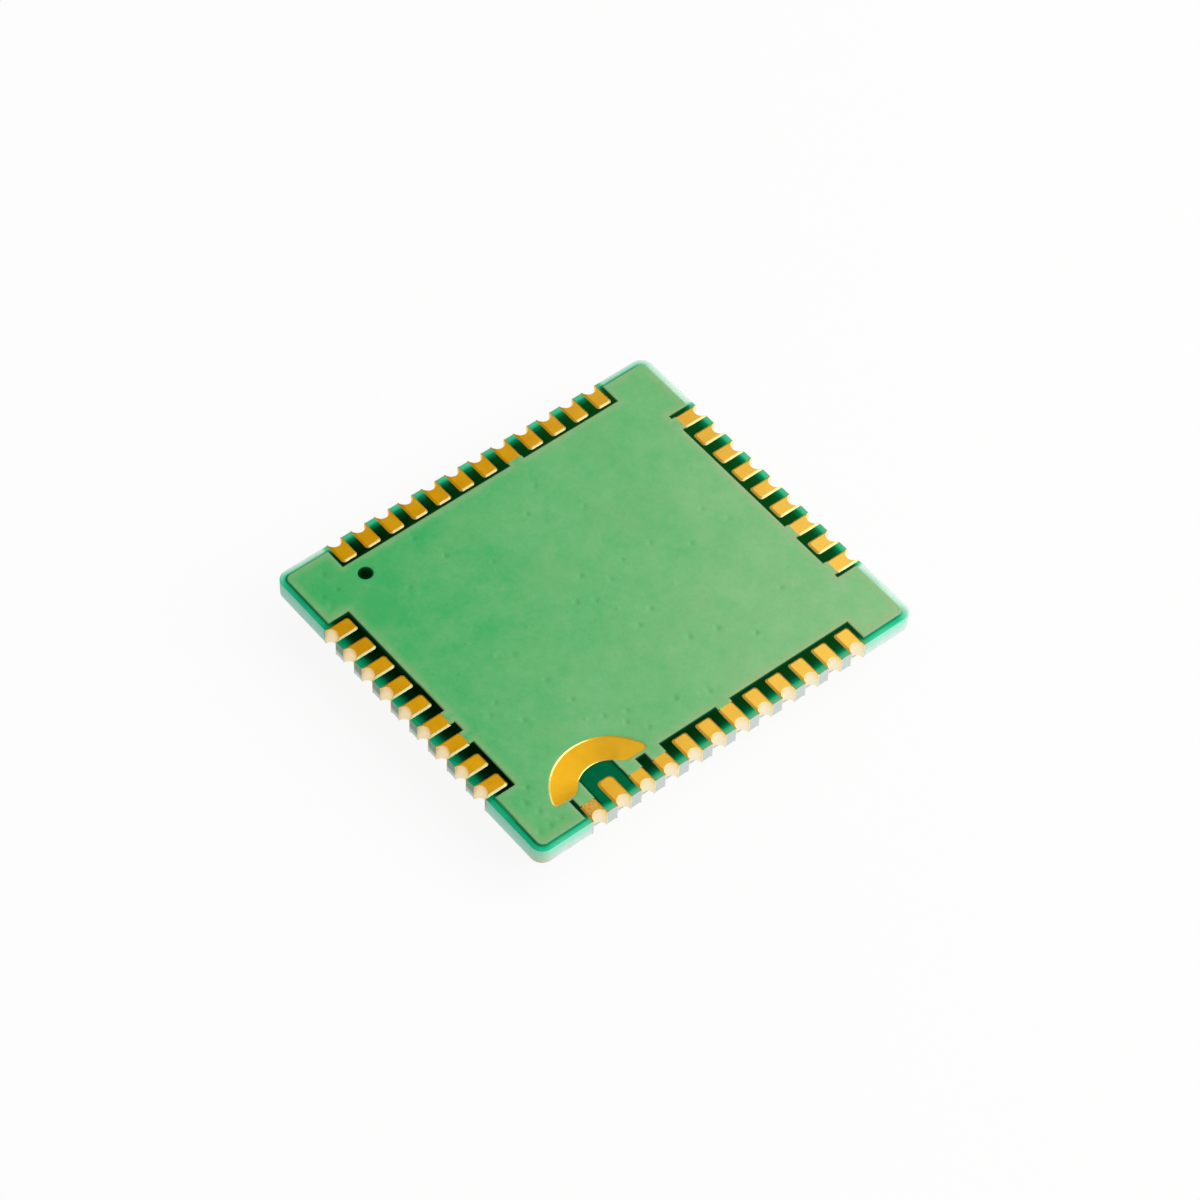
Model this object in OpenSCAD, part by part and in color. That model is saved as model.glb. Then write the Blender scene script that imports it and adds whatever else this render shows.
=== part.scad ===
// Castellated radio module for soldering onto a circuit board.
// It lies on the lid of its shield can, with the contact side up.
// X runs along the long edges, Z = 0 is the face of the lid, and the board is centred on the Z axis.

/* [Board] */
// Length of the board, along X
board_l = 17.6; // [17:0.1:24]
// Width of the board, along Y
board_w = 15.7; // [15.2:0.1:22]
// Thickness of the glass-epoxy laminate
laminate_t = 0.7; // [0.4:0.05:1.6]
// Radius of the corners of the board
corner_r = 0.5; // [0.2:0.05:0.9]
// Thickness of the copper foil on each side
copper_t = 0.05; // [0.02:0.005:0.1]
// Thickness of the solder mask film
mask_t = 0.03; // [0.01:0.005:0.05]
// Distance from the edge of the board to the solder mask
mask_inset = 0.05; // [0.02:0.01:0.15]
// Gap between a pad and the solder mask round it
mask_gap = 0.04; // [0.035:0.005:0.1]

/* [Ground pour] */
// Distance from the edge of the board to the pour
pour_inset = 0.28; // [0.15:0.01:0.6]
// Radius of the corners of the pour
pour_corner_r = 0.25; // [0.1:0.01:0.5]
// Depth of the window along each row of contacts, from the edge of the board
window_depth = 1.2; // [1.15:0.01:1.6]
// Gap between the last pad of a row and the end of the window
window_end_gap = 0.15; // [0.1:0.01:0.4]
// Width of the tongue that joins a ground pad to the pour
tongue_w = 0.64; // [0.2:0.01:0.7]
// Diameter of the round opening that marks the first contact
index_dot_d = 0.56; // [0.3:0.01:0.9]
// Distance of that opening from the edge of the board
index_dot_depth = 1.93; // [1.7:0.01:3]

/* [Contacts] */
// Distance between neighbouring contacts
pitch = 1.1; // [1:0.01:1.25]
// Width of a pad at its foot
pad_w = 0.7; // [0.5:0.01:0.75]
// Length of a pad, from the edge of the board
pad_len = 1.05; // [0.6:0.01:1.1]
// Length of the bare part of the ground pads beside the antenna
short_pad_len = 0.8; // [0.5:0.01:1]
// Length of the antenna pad
antenna_pad_len = 1.25; // [0.8:0.01:1.5]
// Width of the bevel along the sides of a pad
pad_bevel = 0.09; // [0.02:0.01:0.15]
// Radius of the inner corners of a pad, on its face
pad_corner_r = 0.02; // [0.01:0.01:0.1]
// Radius of the inner corners of the antenna pad, on its face
antenna_corner_r = 0.13; // [0.01:0.01:0.16]
// Diameter of the drilled half-holes
hole_d = 0.65; // [0.4:0.01:0.68]
// Thickness of the plating in the half-holes
plating_t = 0.03; // [0.02:0.005:0.1]
// Length of the land on the component side
land_len = 0.5; // [0.4:0.01:0.55]

/* [Antenna test ring] */
// Outer radius of the bare ring round the antenna pad
ring_r_out = 2.25; // [1.8:0.01:2.6]
// Inner radius of the ring
ring_r_in = 1.2; // [1:0.01:1.5]
// Distance of the centre of the ring from the edge of the board
ring_centre_depth = 0.74; // [0.5:0.01:1]
// Distance from the edge of the board at which the ring is cut off
ring_cut_depth = 1.3; // [1.25:0.01:1.6]
// Radius of the rounded ends of the ring
ring_end_r = 0.18; // [0.05:0.01:0.25]
// Width of the gap in the pour round the antenna pad
antenna_gap_w = 1.54; // [1.1:0.01:1.56]

/* [Shield can] */
// Distance from the edge of the board to the can
can_inset = 0.85; // [0.8:0.01:1]
// Height of the can
can_h = 1.47; // [1.35:0.01:2.5]
// Thickness of the sheet
can_t = 0.15; // [0.1:0.01:0.2]
// Outer radius of the bends
can_bend_r = 0.35; // [0.25:0.01:0.6]
// Slit between two walls at a corner
can_slit = 0.08; // [0.03:0.01:0.15]
// Distance between the notches along the foot of a wall
foot_step = 2.6; // [2:0.1:4]
// Width of a notch
notch_w = 0.6; // [0.3:0.05:1]
// Height of a notch
notch_h = 0.22; // [0.1:0.01:0.4]
// Width of the copper strip on each side of the foot
strip_margin = 0.15; // [0.12:0.01:0.18]
// Leg of the solder fillet at each foot
fillet = 0.1; // [0.05:0.01:0.12]
// Radius of the hollow face of the fillet
fillet_r = 0.14; // [0.13:0.01:0.3]

/* [Baseband processor] */
// Length of the package
processor_l = 8; // [7.5:0.1:8.2]
// Width of the package
processor_w = 8; // [7.5:0.1:8.2]
// Thickness of the package
processor_t = 0.8; // [0.5:0.05:0.9]
// Place of the package
processor_at = [3.2, 1.9]; // [-8:0.1:8]
// Diameter of the solder balls, across the middle
ball_d = 0.34; // [0.28:0.01:0.5]
// Height of the solder balls
ball_h = 0.2; // [0.1:0.01:0.25]
// Distance between the solder balls
ball_pitch = 0.8; // [0.6:0.05:0.85]

/* [Radio parts] */
// Length of the front end
front_end_l = 6; // [5:0.1:6.2]
// Width of the front end
front_end_w = 5; // [4:0.1:5.2]
// Thickness of the front end
front_end_t = 0.95; // [0.7:0.05:1.1]
// Place of the front end
front_end_at = [-4.2, -3.6]; // [-8:0.1:8]
// Size of a land along an edge of the front end
front_end_land = [0.5, 0.6]; // [0.3:0.05:0.8]
// Distance between the lands of the front end
front_end_step = 0.95; // [0.85:0.01:1]
// Distance from the edge of the front end to its middle land
front_end_margin = 1.2; // [1:0.05:1.6]
// Length of the receive filter
filter_l = 1.8; // [1.4:0.1:2]
// Width of the receive filter
filter_w = 1.4; // [1:0.1:1.6]
// Thickness of the receive filter
filter_t = 0.6; // [0.4:0.05:1]
// Place of the receive filter
filter_at = [-6.2, 0.9]; // [-8:0.1:8]
// Length of the crystal
crystal_l = 3.2; // [2.5:0.1:3.4]
// Width of the crystal
crystal_w = 2.5; // [2:0.1:2.7]
// Thickness of the ceramic base of the crystal
crystal_base_t = 0.5; // [0.3:0.05:0.7]
// Thickness of the lid of the crystal
crystal_lid_t = 0.2; // [0.1:0.05:0.3]
// Rim of the base round the lid
crystal_rim = 0.15; // [0.05:0.01:0.3]
// Place of the crystal
crystal_at = [-5.6, 4.9]; // [-8:0.1:8]
// Size of a land under a corner of the filter or the crystal
corner_land = [0.5, 0.45]; // [0.3:0.05:0.6]

/* [Chip parts] */
// Length of a small chip part
chip_l = 1; // [0.6:0.05:1.1]
// Width of a small chip part
chip_w = 0.5; // [0.3:0.05:0.6]
// Height of a small capacitor
capacitor_h = 0.5; // [0.3:0.05:0.6]
// Height of a resistor
resistor_h = 0.35; // [0.2:0.05:0.5]
// Length of the end terminals of a small chip part
chip_end_l = 0.25; // [0.15:0.01:0.3]
// Length of a supply capacitor
supply_l = 2; // [1.6:0.1:2.2]
// Width of a supply capacitor
supply_w = 1.25; // [0.8:0.05:1.5]
// Height of a supply capacitor
supply_h = 0.85; // [0.5:0.05:1.1]
// Length of the end terminals of a supply capacitor
supply_end_l = 0.45; // [0.3:0.01:0.6]
// Thickness of the metal of the end terminals
end_t = 0.03; // [0.01:0.005:0.05]
// Margin of a land round an end terminal
land_margin = 0.06; // [0.02:0.01:0.1]
// Distance between the small chip parts of a column
column_step = 0.9; // [0.85:0.05:0.95]
// Gap between the chip parts of a row
row_gap = 0.6; // [0.4:0.05:0.7]
// Place of the first capacitor of the column
capacitor_column_at = [-2.2, 5.9]; // [-8:0.1:8]
// Place of the first small capacitor of the row
capacitor_row_at = [0, -3.2]; // [-8:0.1:8]
// Place of the first supply capacitor
supply_row_at = [0.7, -5.2]; // [-8:0.1:8]
// Place of the first resistor
resistor_column_at = [-4.2, 2.2]; // [-8:0.1:8]

/* [Hidden] */
$fn = 48;
// Extra reach that takes a cut clear of the face it opens
over = 1;

// Contacts along a long edge and along a short edge
long_row = 12;
short_row = 9;
contact_count = 2 * (long_row + short_row);
// Contacts count clockwise from the left end of the back edge: back, right, front, left
row_count = [long_row, short_row, long_row, short_row];
row_start = [1, 1 + long_row, 1 + long_row + short_row, 1 + 2 * long_row + short_row];
// Turn about Z that brings +Y to the inward side of each edge, and the distance of that edge
edge_turn = [180, 90, 0, -90];
edge_dist = [board_w / 2, board_l / 2, board_w / 2, board_l / 2];
ground_contacts = [8, 13, 19, 21, 27, 30, 31, 33, 36, 37];
short_contacts = [30, 31, 33];
antenna_contact = 32;

// Solder balls along a side, lands along an edge of the front end, chip parts in each group
ball_row = 9;
front_end_row = 6;
column_count = 7;
row_chip_count = 5;
supply_count = 3;
resistor_count = 3;

// Heights of the two faces of the laminate
z_component = can_h + copper_t;
z_pad = z_component + laminate_t;

can_l = board_l - 2 * can_inset;
can_w = board_w - 2 * can_inset;
// The long walls cover the ends of the short ones
long_wall_l = can_l;
short_wall_l = can_w - 2 * (can_t + can_slit);

capacitor_spots = concat(
    column(capacitor_column_at, column_count, column_step),
    row(capacitor_row_at, row_chip_count, chip_l + row_gap));
supply_spots = row(supply_row_at, supply_count, supply_l + row_gap);
resistor_spots = column(resistor_column_at, resistor_count, column_step);

function contact_node(k) = str("contact_", k < 10 ? "0" : "", k);
function is_one_of(k, list) = len([for (item = list) if (item == k) item]) > 0;
function edge_of(k) = max([for (e = [0 : 3]) if (k >= row_start[e]) e]);
function along_edge(k) = let (e = edge_of(k)) (k - row_start[e] - (row_count[e] - 1) / 2) * pitch;
function is_ground(k) = is_one_of(k, ground_contacts);
function length_of(k) =
    k == antenna_contact ? antenna_pad_len : is_one_of(k, short_contacts) ? short_pad_len : pad_len;
function corner_of(k) = k == antenna_contact ? antenna_corner_r : pad_corner_r;
function window_l(e) = (row_count[e] - 1) * pitch + pad_w + 2 * window_end_gap;
function column(at, count, step) = [for (i = [0 : count - 1]) [at[0], at[1] - i * step]];
function row(at, count, step) = [for (i = [0 : count - 1]) [at[0] + i * step, at[1]]];
function notches(wall_l) = floor(wall_l / foot_step);
function notch_at(wall_l, i) = (i - (notches(wall_l) - 1) / 2) * foot_step;

// Puts a shape at contact k: X along the edge, Y inwards from the edge
module at_contact(k) {
    e = edge_of(k);
    rotate(edge_turn[e])
        translate([-along_edge(k), -edge_dist[e]])
            children();
}

// Stands a shape on the lands of the component side, with its Z away from the board
module on_component_side() {
    translate([0, 0, can_h])
        mirror([0, 0, 1])
            children();
}

module rounded_rect(l, w, r) {
    square([l - 2 * r, w], center = true);
    square([l, w - 2 * r], center = true);
    for (sx = [-1, 1], sy = [-1, 1])
        translate([sx * (l / 2 - r), sy * (w / 2 - r)])
            circle(r);
}

// Outline of the board, drawn in by a distance
module board_outline(inset) {
    rounded_rect(board_l - 2 * inset, board_w - 2 * inset, corner_r - inset);
}

module board_laminate() {
    color("#c9d3cf")
        translate([0, 0, z_component])
            linear_extrude(laminate_t)
                difference() {
                    board_outline(0);
                    for (k = [1 : contact_count])
                        at_contact(k)
                            circle(d = hole_d);
                }
}

// Foil of the pad side, let out all round by grow, with its tongues longer by reach
module foil(grow, reach) {
    difference() {
        union() {
            difference() {
                rounded_rect(board_l - 2 * (pour_inset - grow), board_w - 2 * (pour_inset - grow),
                             pour_corner_r + grow);
                for (e = [0 : 3])
                    rotate(edge_turn[e])
                        translate([grow - window_l(e) / 2, -edge_dist[e] - over])
                            square([window_l(e) - 2 * grow, over + window_depth - grow]);
            }
            for (k = ground_contacts)
                at_contact(k)
                    translate([-tongue_w / 2 - grow, length_of(k) - reach])
                        square([tongue_w + 2 * grow, window_depth + pour_inset - length_of(k) + reach]);
        }
        antenna_gap(grow);
        at_contact(1)
            translate([0, index_dot_depth])
                circle(d = index_dot_d - 2 * grow);
    }
}

// Gap round the antenna pad: straight sides, and an end that follows the inside of the ring
module antenna_gap(grow) {
    at_contact(antenna_contact)
        intersection() {
            translate([grow - antenna_gap_w / 2, -over])
                square([antenna_gap_w - 2 * grow, over + ring_centre_depth + ring_r_in]);
            union() {
                translate([0, ring_centre_depth])
                    circle(ring_r_in - grow);
                translate([-antenna_gap_w / 2, -over])
                    square([antenna_gap_w, over + ring_centre_depth]);
            }
        }
}

module ground_pour() {
    color("#d9a21f")
        translate([0, 0, z_pad])
            linear_extrude(copper_t)
                foil(0, 0);
}

// Bits outside the rounded corners at both ends of the ring, with the centre of the ring at the origin.
// A corner's circle touches the level cut and one edge of the ring, and its centre lies at reach from the origin.
// The bit lies past that circle, between the rays to its touching points, out to stretch times reach
module ring_corner_bits(reach, stretch) {
    lift = ring_cut_depth - ring_centre_depth + ring_end_r;
    middle = [sqrt(reach * reach - lift * lift), lift];
    for (side = [0, 1])
        mirror([side, 0])
            difference() {
                polygon([middle, [middle[0], 0], [stretch * middle[0], 0], stretch * middle]);
                translate(middle)
                    circle(ring_end_r);
            }
}

// The bare ring: half a ring, cut off level, with rounded ends
module bare_ring() {
    past_outer_edge = 2;
    past_inner_edge = 0.5;
    translate([0, ring_centre_depth])
        difference() {
            intersection() {
                circle(ring_r_out);
                translate([-ring_r_out, ring_cut_depth - ring_centre_depth])
                    square([2 * ring_r_out, ring_r_out]);
            }
            circle(ring_r_in);
            ring_corner_bits(ring_r_out - ring_end_r, past_outer_edge);
            ring_corner_bits(ring_r_in + ring_end_r, past_inner_edge);
        }
}

// Opening over the bare ring, also clear of its edge along the antenna gap
module ring_opening() {
    at_contact(antenna_contact) {
        bare_ring();
        intersection() {
            translate([-antenna_gap_w / 2, 0])
                square([antenna_gap_w, ring_centre_depth + ring_r_in]);
            translate([0, ring_centre_depth])
                difference() {
                    circle(ring_r_in);
                    circle(ring_r_in - mask_gap);
                }
        }
    }
}

// Opening in the solder mask round pad k, square where the pour joins the pad
module pad_opening(k) {
    half = pad_w / 2 + mask_gap;
    if (is_ground(k))
        translate([-half, -over])
            square([2 * half, over + length_of(k)]);
    else {
        r = corner_of(k) + pad_bevel + mask_gap;
        end = length_of(k) + mask_gap;
        translate([-half, -over])
            square([2 * half, over + end - r]);
        translate([r - half, -over])
            square([2 * (half - r), over + end]);
        for (side = [-1, 1])
            translate([side * (half - r), end - r])
                circle(r);
    }
}

// Field of the solder mask, open at the contacts and the ring
module mask_field() {
    difference() {
        board_outline(mask_inset);
        for (k = [1 : contact_count])
            at_contact(k)
                pad_opening(k);
        ring_opening();
    }
}

// Film that lies on the laminate, climbs the edge of the pour and covers it
module pad_side_mask() {
    color("#5cb46f")
        translate([0, 0, z_pad])
            difference() {
                union() {
                    linear_extrude(mask_t)
                        mask_field();
                    linear_extrude(copper_t + mask_t)
                        intersection() {
                            mask_field();
                            foil(mask_t, mask_gap);
                        }
                }
                translate([0, 0, -over])
                    linear_extrude(over + copper_t)
                        foil(0, mask_gap);
            }
}

// Stretch of a pad from the edge of the board inwards, with bevelled sides
module pad_run(len) {
    rotate([90, 0, 180])
        linear_extrude(len)
            polygon([[-pad_w / 2, 0], [pad_w / 2, 0],
                     [pad_w / 2 - pad_bevel, copper_t], [pad_bevel - pad_w / 2, copper_t]]);
}

// Pad with bevelled sides; a pad that the pour doesn't join has a bevelled inner end with rounded corners
module pad(k) {
    if (is_ground(k))
        pad_run(length_of(k));
    else {
        foot_r = corner_of(k) + pad_bevel;
        len = length_of(k);
        pad_run(len - foot_r);
        rotate([90, 0, 90])
            linear_extrude(pad_w - 2 * foot_r, center = true)
                polygon([[0, 0], [len, 0], [len - pad_bevel, copper_t], [0, copper_t]]);
        for (side = [-1, 1])
            translate([side * (pad_w / 2 - foot_r), len - foot_r, 0])
                cylinder(r1 = foot_r, r2 = corner_of(k), h = copper_t);
    }
}

// One contact: pad, half-barrel in the edge of the board, and land on the component side
module contact(k) {
    color("#e3a92c")
        at_contact(k)
            difference() {
                union() {
                    translate([0, 0, z_pad])
                        pad(k);
                    translate([0, 0, can_h])
                        linear_extrude(z_pad - can_h)
                            intersection() {
                                circle(d = hole_d);
                                translate([-hole_d, 0])
                                    square([2 * hole_d, hole_d]);
                            }
                    translate([-pad_w / 2, 0, can_h])
                        cube([pad_w, land_len, copper_t]);
                }
                translate([0, 0, can_h - over])
                    cylinder(d = hole_d - 2 * plating_t, h = z_pad - can_h + copper_t + 2 * over);
            }
}

module can_strip(grow) {
    difference() {
        rounded_rect(can_l + 2 * (strip_margin + grow), can_w + 2 * (strip_margin + grow),
                     strip_margin + grow);
        square([can_l - 2 * (can_t + strip_margin + grow), can_w - 2 * (can_t + strip_margin + grow)],
               center = true);
    }
}

module corner_lands(l, w, grow) {
    for (sx = [-1, 1], sy = [-1, 1])
        translate([sx * (l - corner_land[0]) / 2, sy * (w - corner_land[1]) / 2])
            square([corner_land[0] + 2 * grow, corner_land[1] + 2 * grow], center = true);
}

module chip_lands(l, w, end_l, grow) {
    for (s = [-1, 1])
        translate([s * (l - end_l) / 2, 0])
            square([end_l + 2 * (land_margin + grow), w + 2 * (land_margin + grow)], center = true);
}

module front_end_lands(grow) {
    for (i = [0 : front_end_row - 1], s = [-1, 1])
        translate([(i - (front_end_row - 1) / 2) * front_end_step,
                   s * (front_end_w - front_end_land[1]) / 2])
            square([front_end_land[0] + 2 * grow, front_end_land[1] + 2 * grow], center = true);
    square([front_end_l - 2 * (front_end_margin - grow), front_end_w - 2 * (front_end_margin - grow)],
           center = true);
}

module ball_grid() {
    for (i = [0 : ball_row - 1], j = [0 : ball_row - 1])
        translate([(i - (ball_row - 1) / 2) * ball_pitch, (j - (ball_row - 1) / 2) * ball_pitch])
            children();
}

// Lands of every part on the component side, let out all round by grow
module part_lands(grow) {
    translate(processor_at)
        ball_grid()
            circle(d = ball_d + 2 * grow);
    translate(front_end_at)
        front_end_lands(grow);
    translate(filter_at)
        corner_lands(filter_l, filter_w, grow);
    translate(crystal_at)
        corner_lands(crystal_l, crystal_w, grow);
    for (at = concat(capacitor_spots, resistor_spots))
        translate(at)
            chip_lands(chip_l, chip_w, chip_end_l, grow);
    for (at = supply_spots)
        translate(at)
            chip_lands(supply_l, supply_w, supply_end_l, grow);
}

module component_side_copper() {
    color("#d9a21f")
        translate([0, 0, can_h])
            linear_extrude(copper_t) {
                can_strip(0);
                part_lands(0);
            }
}

module component_side_mask() {
    color("#3f9a58")
        translate([0, 0, z_component - mask_t])
            linear_extrude(mask_t)
                difference() {
                    board_outline(mask_inset);
                    for (k = [1 : contact_count])
                        at_contact(k)
                            translate([-pad_w / 2 - mask_gap, -over])
                                square([pad_w + 2 * mask_gap, over + land_len + mask_gap]);
                    can_strip(mask_gap);
                    part_lands(mask_gap);
                }
}

// One wall of the can, at a distance from the middle: bend, upright and notched foot
module can_wall(distance, bend_l, wall_l) {
    translate([0, can_bend_r - distance, can_bend_r])
        rotate([90, 0, 90])
            linear_extrude(bend_l, center = true)
                intersection() {
                    difference() {
                        circle(can_bend_r);
                        circle(can_bend_r - can_t);
                    }
                    translate([-can_bend_r, -can_bend_r])
                        square(can_bend_r);
                }
    difference() {
        translate([-wall_l / 2, -distance, can_bend_r])
            cube([wall_l, can_t, can_h - can_bend_r]);
        for (i = [0 : notches(wall_l) - 1])
            translate([notch_at(wall_l, i) - notch_w / 2, -distance - over, can_h - notch_h])
                cube([notch_w, can_t + 2 * over, notch_h + over]);
    }
}

// Puts one child along both long walls and the other along both short walls
module on_can_walls() {
    for (turn = [0, 180])
        rotate(turn)
            children(0);
    for (turn = [90, -90])
        rotate(turn)
            children(1);
}

module shield_can() {
    color("#c3c4c2") {
        translate([0, 0, can_t / 2])
            cube([can_l - 2 * can_bend_r, can_w - 2 * can_bend_r, can_t], center = true);
        on_can_walls() {
            can_wall(can_w / 2, can_l - 2 * can_bend_r, long_wall_l);
            can_wall(can_l / 2, can_w - 2 * can_bend_r, short_wall_l);
        }
    }
}

// Fillets along the feet of one wall, hollow between the wall and the strip
module wall_fillets(distance, wall_l) {
    last = notches(wall_l);
    hollow = (fillet + sqrt(2 * fillet_r * fillet_r - fillet * fillet)) / 2;
    for (i = [0 : last]) {
        from = i == 0 ? -wall_l / 2 : notch_at(wall_l, i - 1) + notch_w / 2;
        to = i == last ? wall_l / 2 : notch_at(wall_l, i) - notch_w / 2;
        translate([from, -distance, can_h])
            rotate([90, 0, 90])
                linear_extrude(to - from)
                    difference() {
                        polygon([[0, 0], [-fillet, 0], [0, -fillet]]);
                        translate([-hollow, -hollow])
                            circle(fillet_r);
                    }
    }
}

module can_solder() {
    color("#d5d6d4")
        on_can_walls() {
            wall_fillets(can_w / 2, long_wall_l);
            wall_fillets(can_l / 2, short_wall_l);
        }
}

module baseband_processor() {
    color("#2b2c2e")
        on_component_side()
            translate([processor_at[0], processor_at[1], ball_h + processor_t / 2])
                cube([processor_l, processor_w, processor_t], center = true);
}

module processor_balls() {
    color("#bfc0bf")
        on_component_side()
            translate(processor_at)
                ball_grid()
                    intersection() {
                        translate([0, 0, ball_h / 2])
                            sphere(d = ball_d);
                        cylinder(d = ball_d + over, h = ball_h);
                    }
}

module radio_front_end() {
    color("#303133")
        on_component_side()
            translate([front_end_at[0], front_end_at[1], front_end_t / 2])
                cube([front_end_l, front_end_w, front_end_t], center = true);
}

module receive_filter() {
    color("#8f8a7c")
        on_component_side()
            translate([filter_at[0], filter_at[1], filter_t / 2])
                cube([filter_l, filter_w, filter_t], center = true);
}

module crystal_base() {
    color("#4a4742")
        on_component_side()
            translate([crystal_at[0], crystal_at[1], crystal_base_t / 2])
                cube([crystal_l, crystal_w, crystal_base_t], center = true);
}

module crystal_lid() {
    color("#d8d2bf")
        on_component_side()
            translate([crystal_at[0], crystal_at[1], crystal_base_t])
                linear_extrude(crystal_lid_t)
                    rounded_rect(crystal_l - 2 * crystal_rim, crystal_w - 2 * crystal_rim, crystal_rim);
}

module chip_body(l, w, h) {
    translate([0, 0, h / 2])
        cube([l - 2 * end_t, w - 2 * end_t, h - 2 * end_t], center = true);
}

// Metal cups over both ends of a chip part
module chip_terminals(l, w, h, end_l) {
    difference() {
        for (s = [-1, 1])
            translate([s * (l - end_l) / 2, 0, h / 2])
                cube([end_l, w, h], center = true);
        chip_body(l, w, h);
    }
}

module capacitor_bodies() {
    color("#a8865f")
        on_component_side() {
            for (at = capacitor_spots)
                translate(at)
                    chip_body(chip_l, chip_w, capacitor_h);
            for (at = supply_spots)
                translate(at)
                    chip_body(supply_l, supply_w, supply_h);
        }
}

module capacitor_terminals() {
    color("#c9cac8")
        on_component_side() {
            for (at = capacitor_spots)
                translate(at)
                    chip_terminals(chip_l, chip_w, capacitor_h, chip_end_l);
            for (at = supply_spots)
                translate(at)
                    chip_terminals(supply_l, supply_w, supply_h, supply_end_l);
        }
}

module resistor_bodies() {
    color("#1f1f22")
        on_component_side()
            for (at = resistor_spots)
                translate(at)
                    chip_body(chip_l, chip_w, resistor_h);
}

module resistor_terminals() {
    color("#c9cac8")
        on_component_side()
            for (at = resistor_spots)
                translate(at)
                    chip_terminals(chip_l, chip_w, resistor_h, chip_end_l);
}

board_laminate();
ground_pour();
pad_side_mask();
component_side_copper();
component_side_mask();
shield_can();
can_solder();
baseband_processor();
processor_balls();
radio_front_end();
receive_filter();
crystal_base();
crystal_lid();
capacitor_bodies();
capacitor_terminals();
resistor_bodies();
resistor_terminals();
for (k = [1 : contact_count])
    contact(k);
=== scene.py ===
import math
import random
from functools import partial

import bmesh
import bpy
import numpy as np
from mathutils import Matrix, Vector
from mathutils.geometry import delaunay_2d_cdt


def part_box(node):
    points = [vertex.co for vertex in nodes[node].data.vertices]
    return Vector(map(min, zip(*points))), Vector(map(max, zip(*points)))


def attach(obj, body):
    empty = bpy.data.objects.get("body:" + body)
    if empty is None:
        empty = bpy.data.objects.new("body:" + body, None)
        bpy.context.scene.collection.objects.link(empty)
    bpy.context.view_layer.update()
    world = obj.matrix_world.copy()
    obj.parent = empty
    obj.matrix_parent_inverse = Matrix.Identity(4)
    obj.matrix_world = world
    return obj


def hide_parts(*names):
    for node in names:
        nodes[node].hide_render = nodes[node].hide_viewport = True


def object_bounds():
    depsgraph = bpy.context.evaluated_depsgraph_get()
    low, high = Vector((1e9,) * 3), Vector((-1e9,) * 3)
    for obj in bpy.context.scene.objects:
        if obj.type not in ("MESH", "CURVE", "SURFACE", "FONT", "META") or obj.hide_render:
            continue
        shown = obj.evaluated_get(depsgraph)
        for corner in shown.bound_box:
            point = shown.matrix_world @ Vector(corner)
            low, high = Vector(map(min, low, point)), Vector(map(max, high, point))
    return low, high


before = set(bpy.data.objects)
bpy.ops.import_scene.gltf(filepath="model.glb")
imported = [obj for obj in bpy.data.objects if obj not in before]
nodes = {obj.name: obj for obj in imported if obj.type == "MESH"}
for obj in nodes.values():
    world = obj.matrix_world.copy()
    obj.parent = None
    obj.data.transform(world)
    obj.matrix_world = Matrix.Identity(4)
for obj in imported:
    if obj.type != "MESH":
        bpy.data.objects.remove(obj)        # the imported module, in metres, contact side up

cadLow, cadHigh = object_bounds()
mm = 0.001
print("frame:", len(nodes), "nodes")


# What the frame says about the board, in millimetres

boardLow, boardHigh = [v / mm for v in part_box("board_laminate")]
halfLength = boardHigh.x
halfWidth = boardHigh.y
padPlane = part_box("contact_01")[1].z / mm       # faces of the pads
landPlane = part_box("contact_01")[0].z / mm      # faces of the lands on the other side
copperThick = padPlane - boardHigh.z
filmThick = cadHigh.z / mm - padPlane
far = 9.0                                       # farther in or out than any pad or field matters
samePoint = 1e-5                                # points closer than this are one

# Turn of each edge, so that +Y points in from it: back, right, front, left
edgeTurn = [math.pi, math.pi / 2, 0.0, -math.pi / 2]
edgeDistance = [halfWidth, halfLength, halfWidth, halfLength]
edgeHalf = [halfLength, halfWidth, halfLength, halfWidth]
backEdge, leftEdge = 0, 3
longEdges = (0, 2)


def onBoard(edge, along, depth):       # along runs clockwise, depth runs in from the edge
    x, y = -along, depth - edgeDistance[edge]
    c, s = math.cos(edgeTurn[edge]), math.sin(edgeTurn[edge])
    return (c * x - s * y, s * x + c * y)


def readContact(name):
    low, high = [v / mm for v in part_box(name)]
    middle = (low + high) / 2
    gaps = [halfWidth - high.y, halfLength - high.x, low.y + halfWidth, low.x + halfLength]
    edge = min(range(4), key=lambda e: abs(gaps[e]))
    size = high - low
    along = [middle.x, -middle.y, -middle.x, middle.y][edge]
    length, width = (size.y, size.x) if edge in longEdges else (size.x, size.y)
    return {"name": name, "edge": edge, "along": along, "length": length, "width": width}


contacts = [readContact(name) for name in sorted(nodes) if name.startswith("contact_")]
rows = [sorted((c for c in contacts if c["edge"] == edge), key=lambda c: c["along"]) for edge in range(4)]
padWidth = contacts[0]["width"]
antenna = max(contacts, key=lambda c: c["length"])


# Small helpers for materials and meshes

def linearColour(hexCode):
    def channel(pair):
        value = int(pair, 16) / 255
        return value / 12.92 if value <= 0.04045 else ((value + 0.055) / 1.055) ** 2.4
    return (*[channel(hexCode[i:i + 2]) for i in (1, 3, 5)], 1.0)


def addNode(tree, family, kind, settings=None, links=None):    # gives back its first output in use
    node = tree.nodes.new(family + kind)
    for name, value in (settings or {}).items():
        if isinstance(value, str) and value.startswith("#"):
            value = linearColour(value)
        if isinstance(name, int) or name in node.inputs:
            node.inputs[name].default_value = value
        else:
            setattr(node, name, value)
    for name, source in (links or {}).items():
        tree.links.new(source, node.inputs[name])
    return next((socket for socket in node.outputs if socket.enabled), None)


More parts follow.
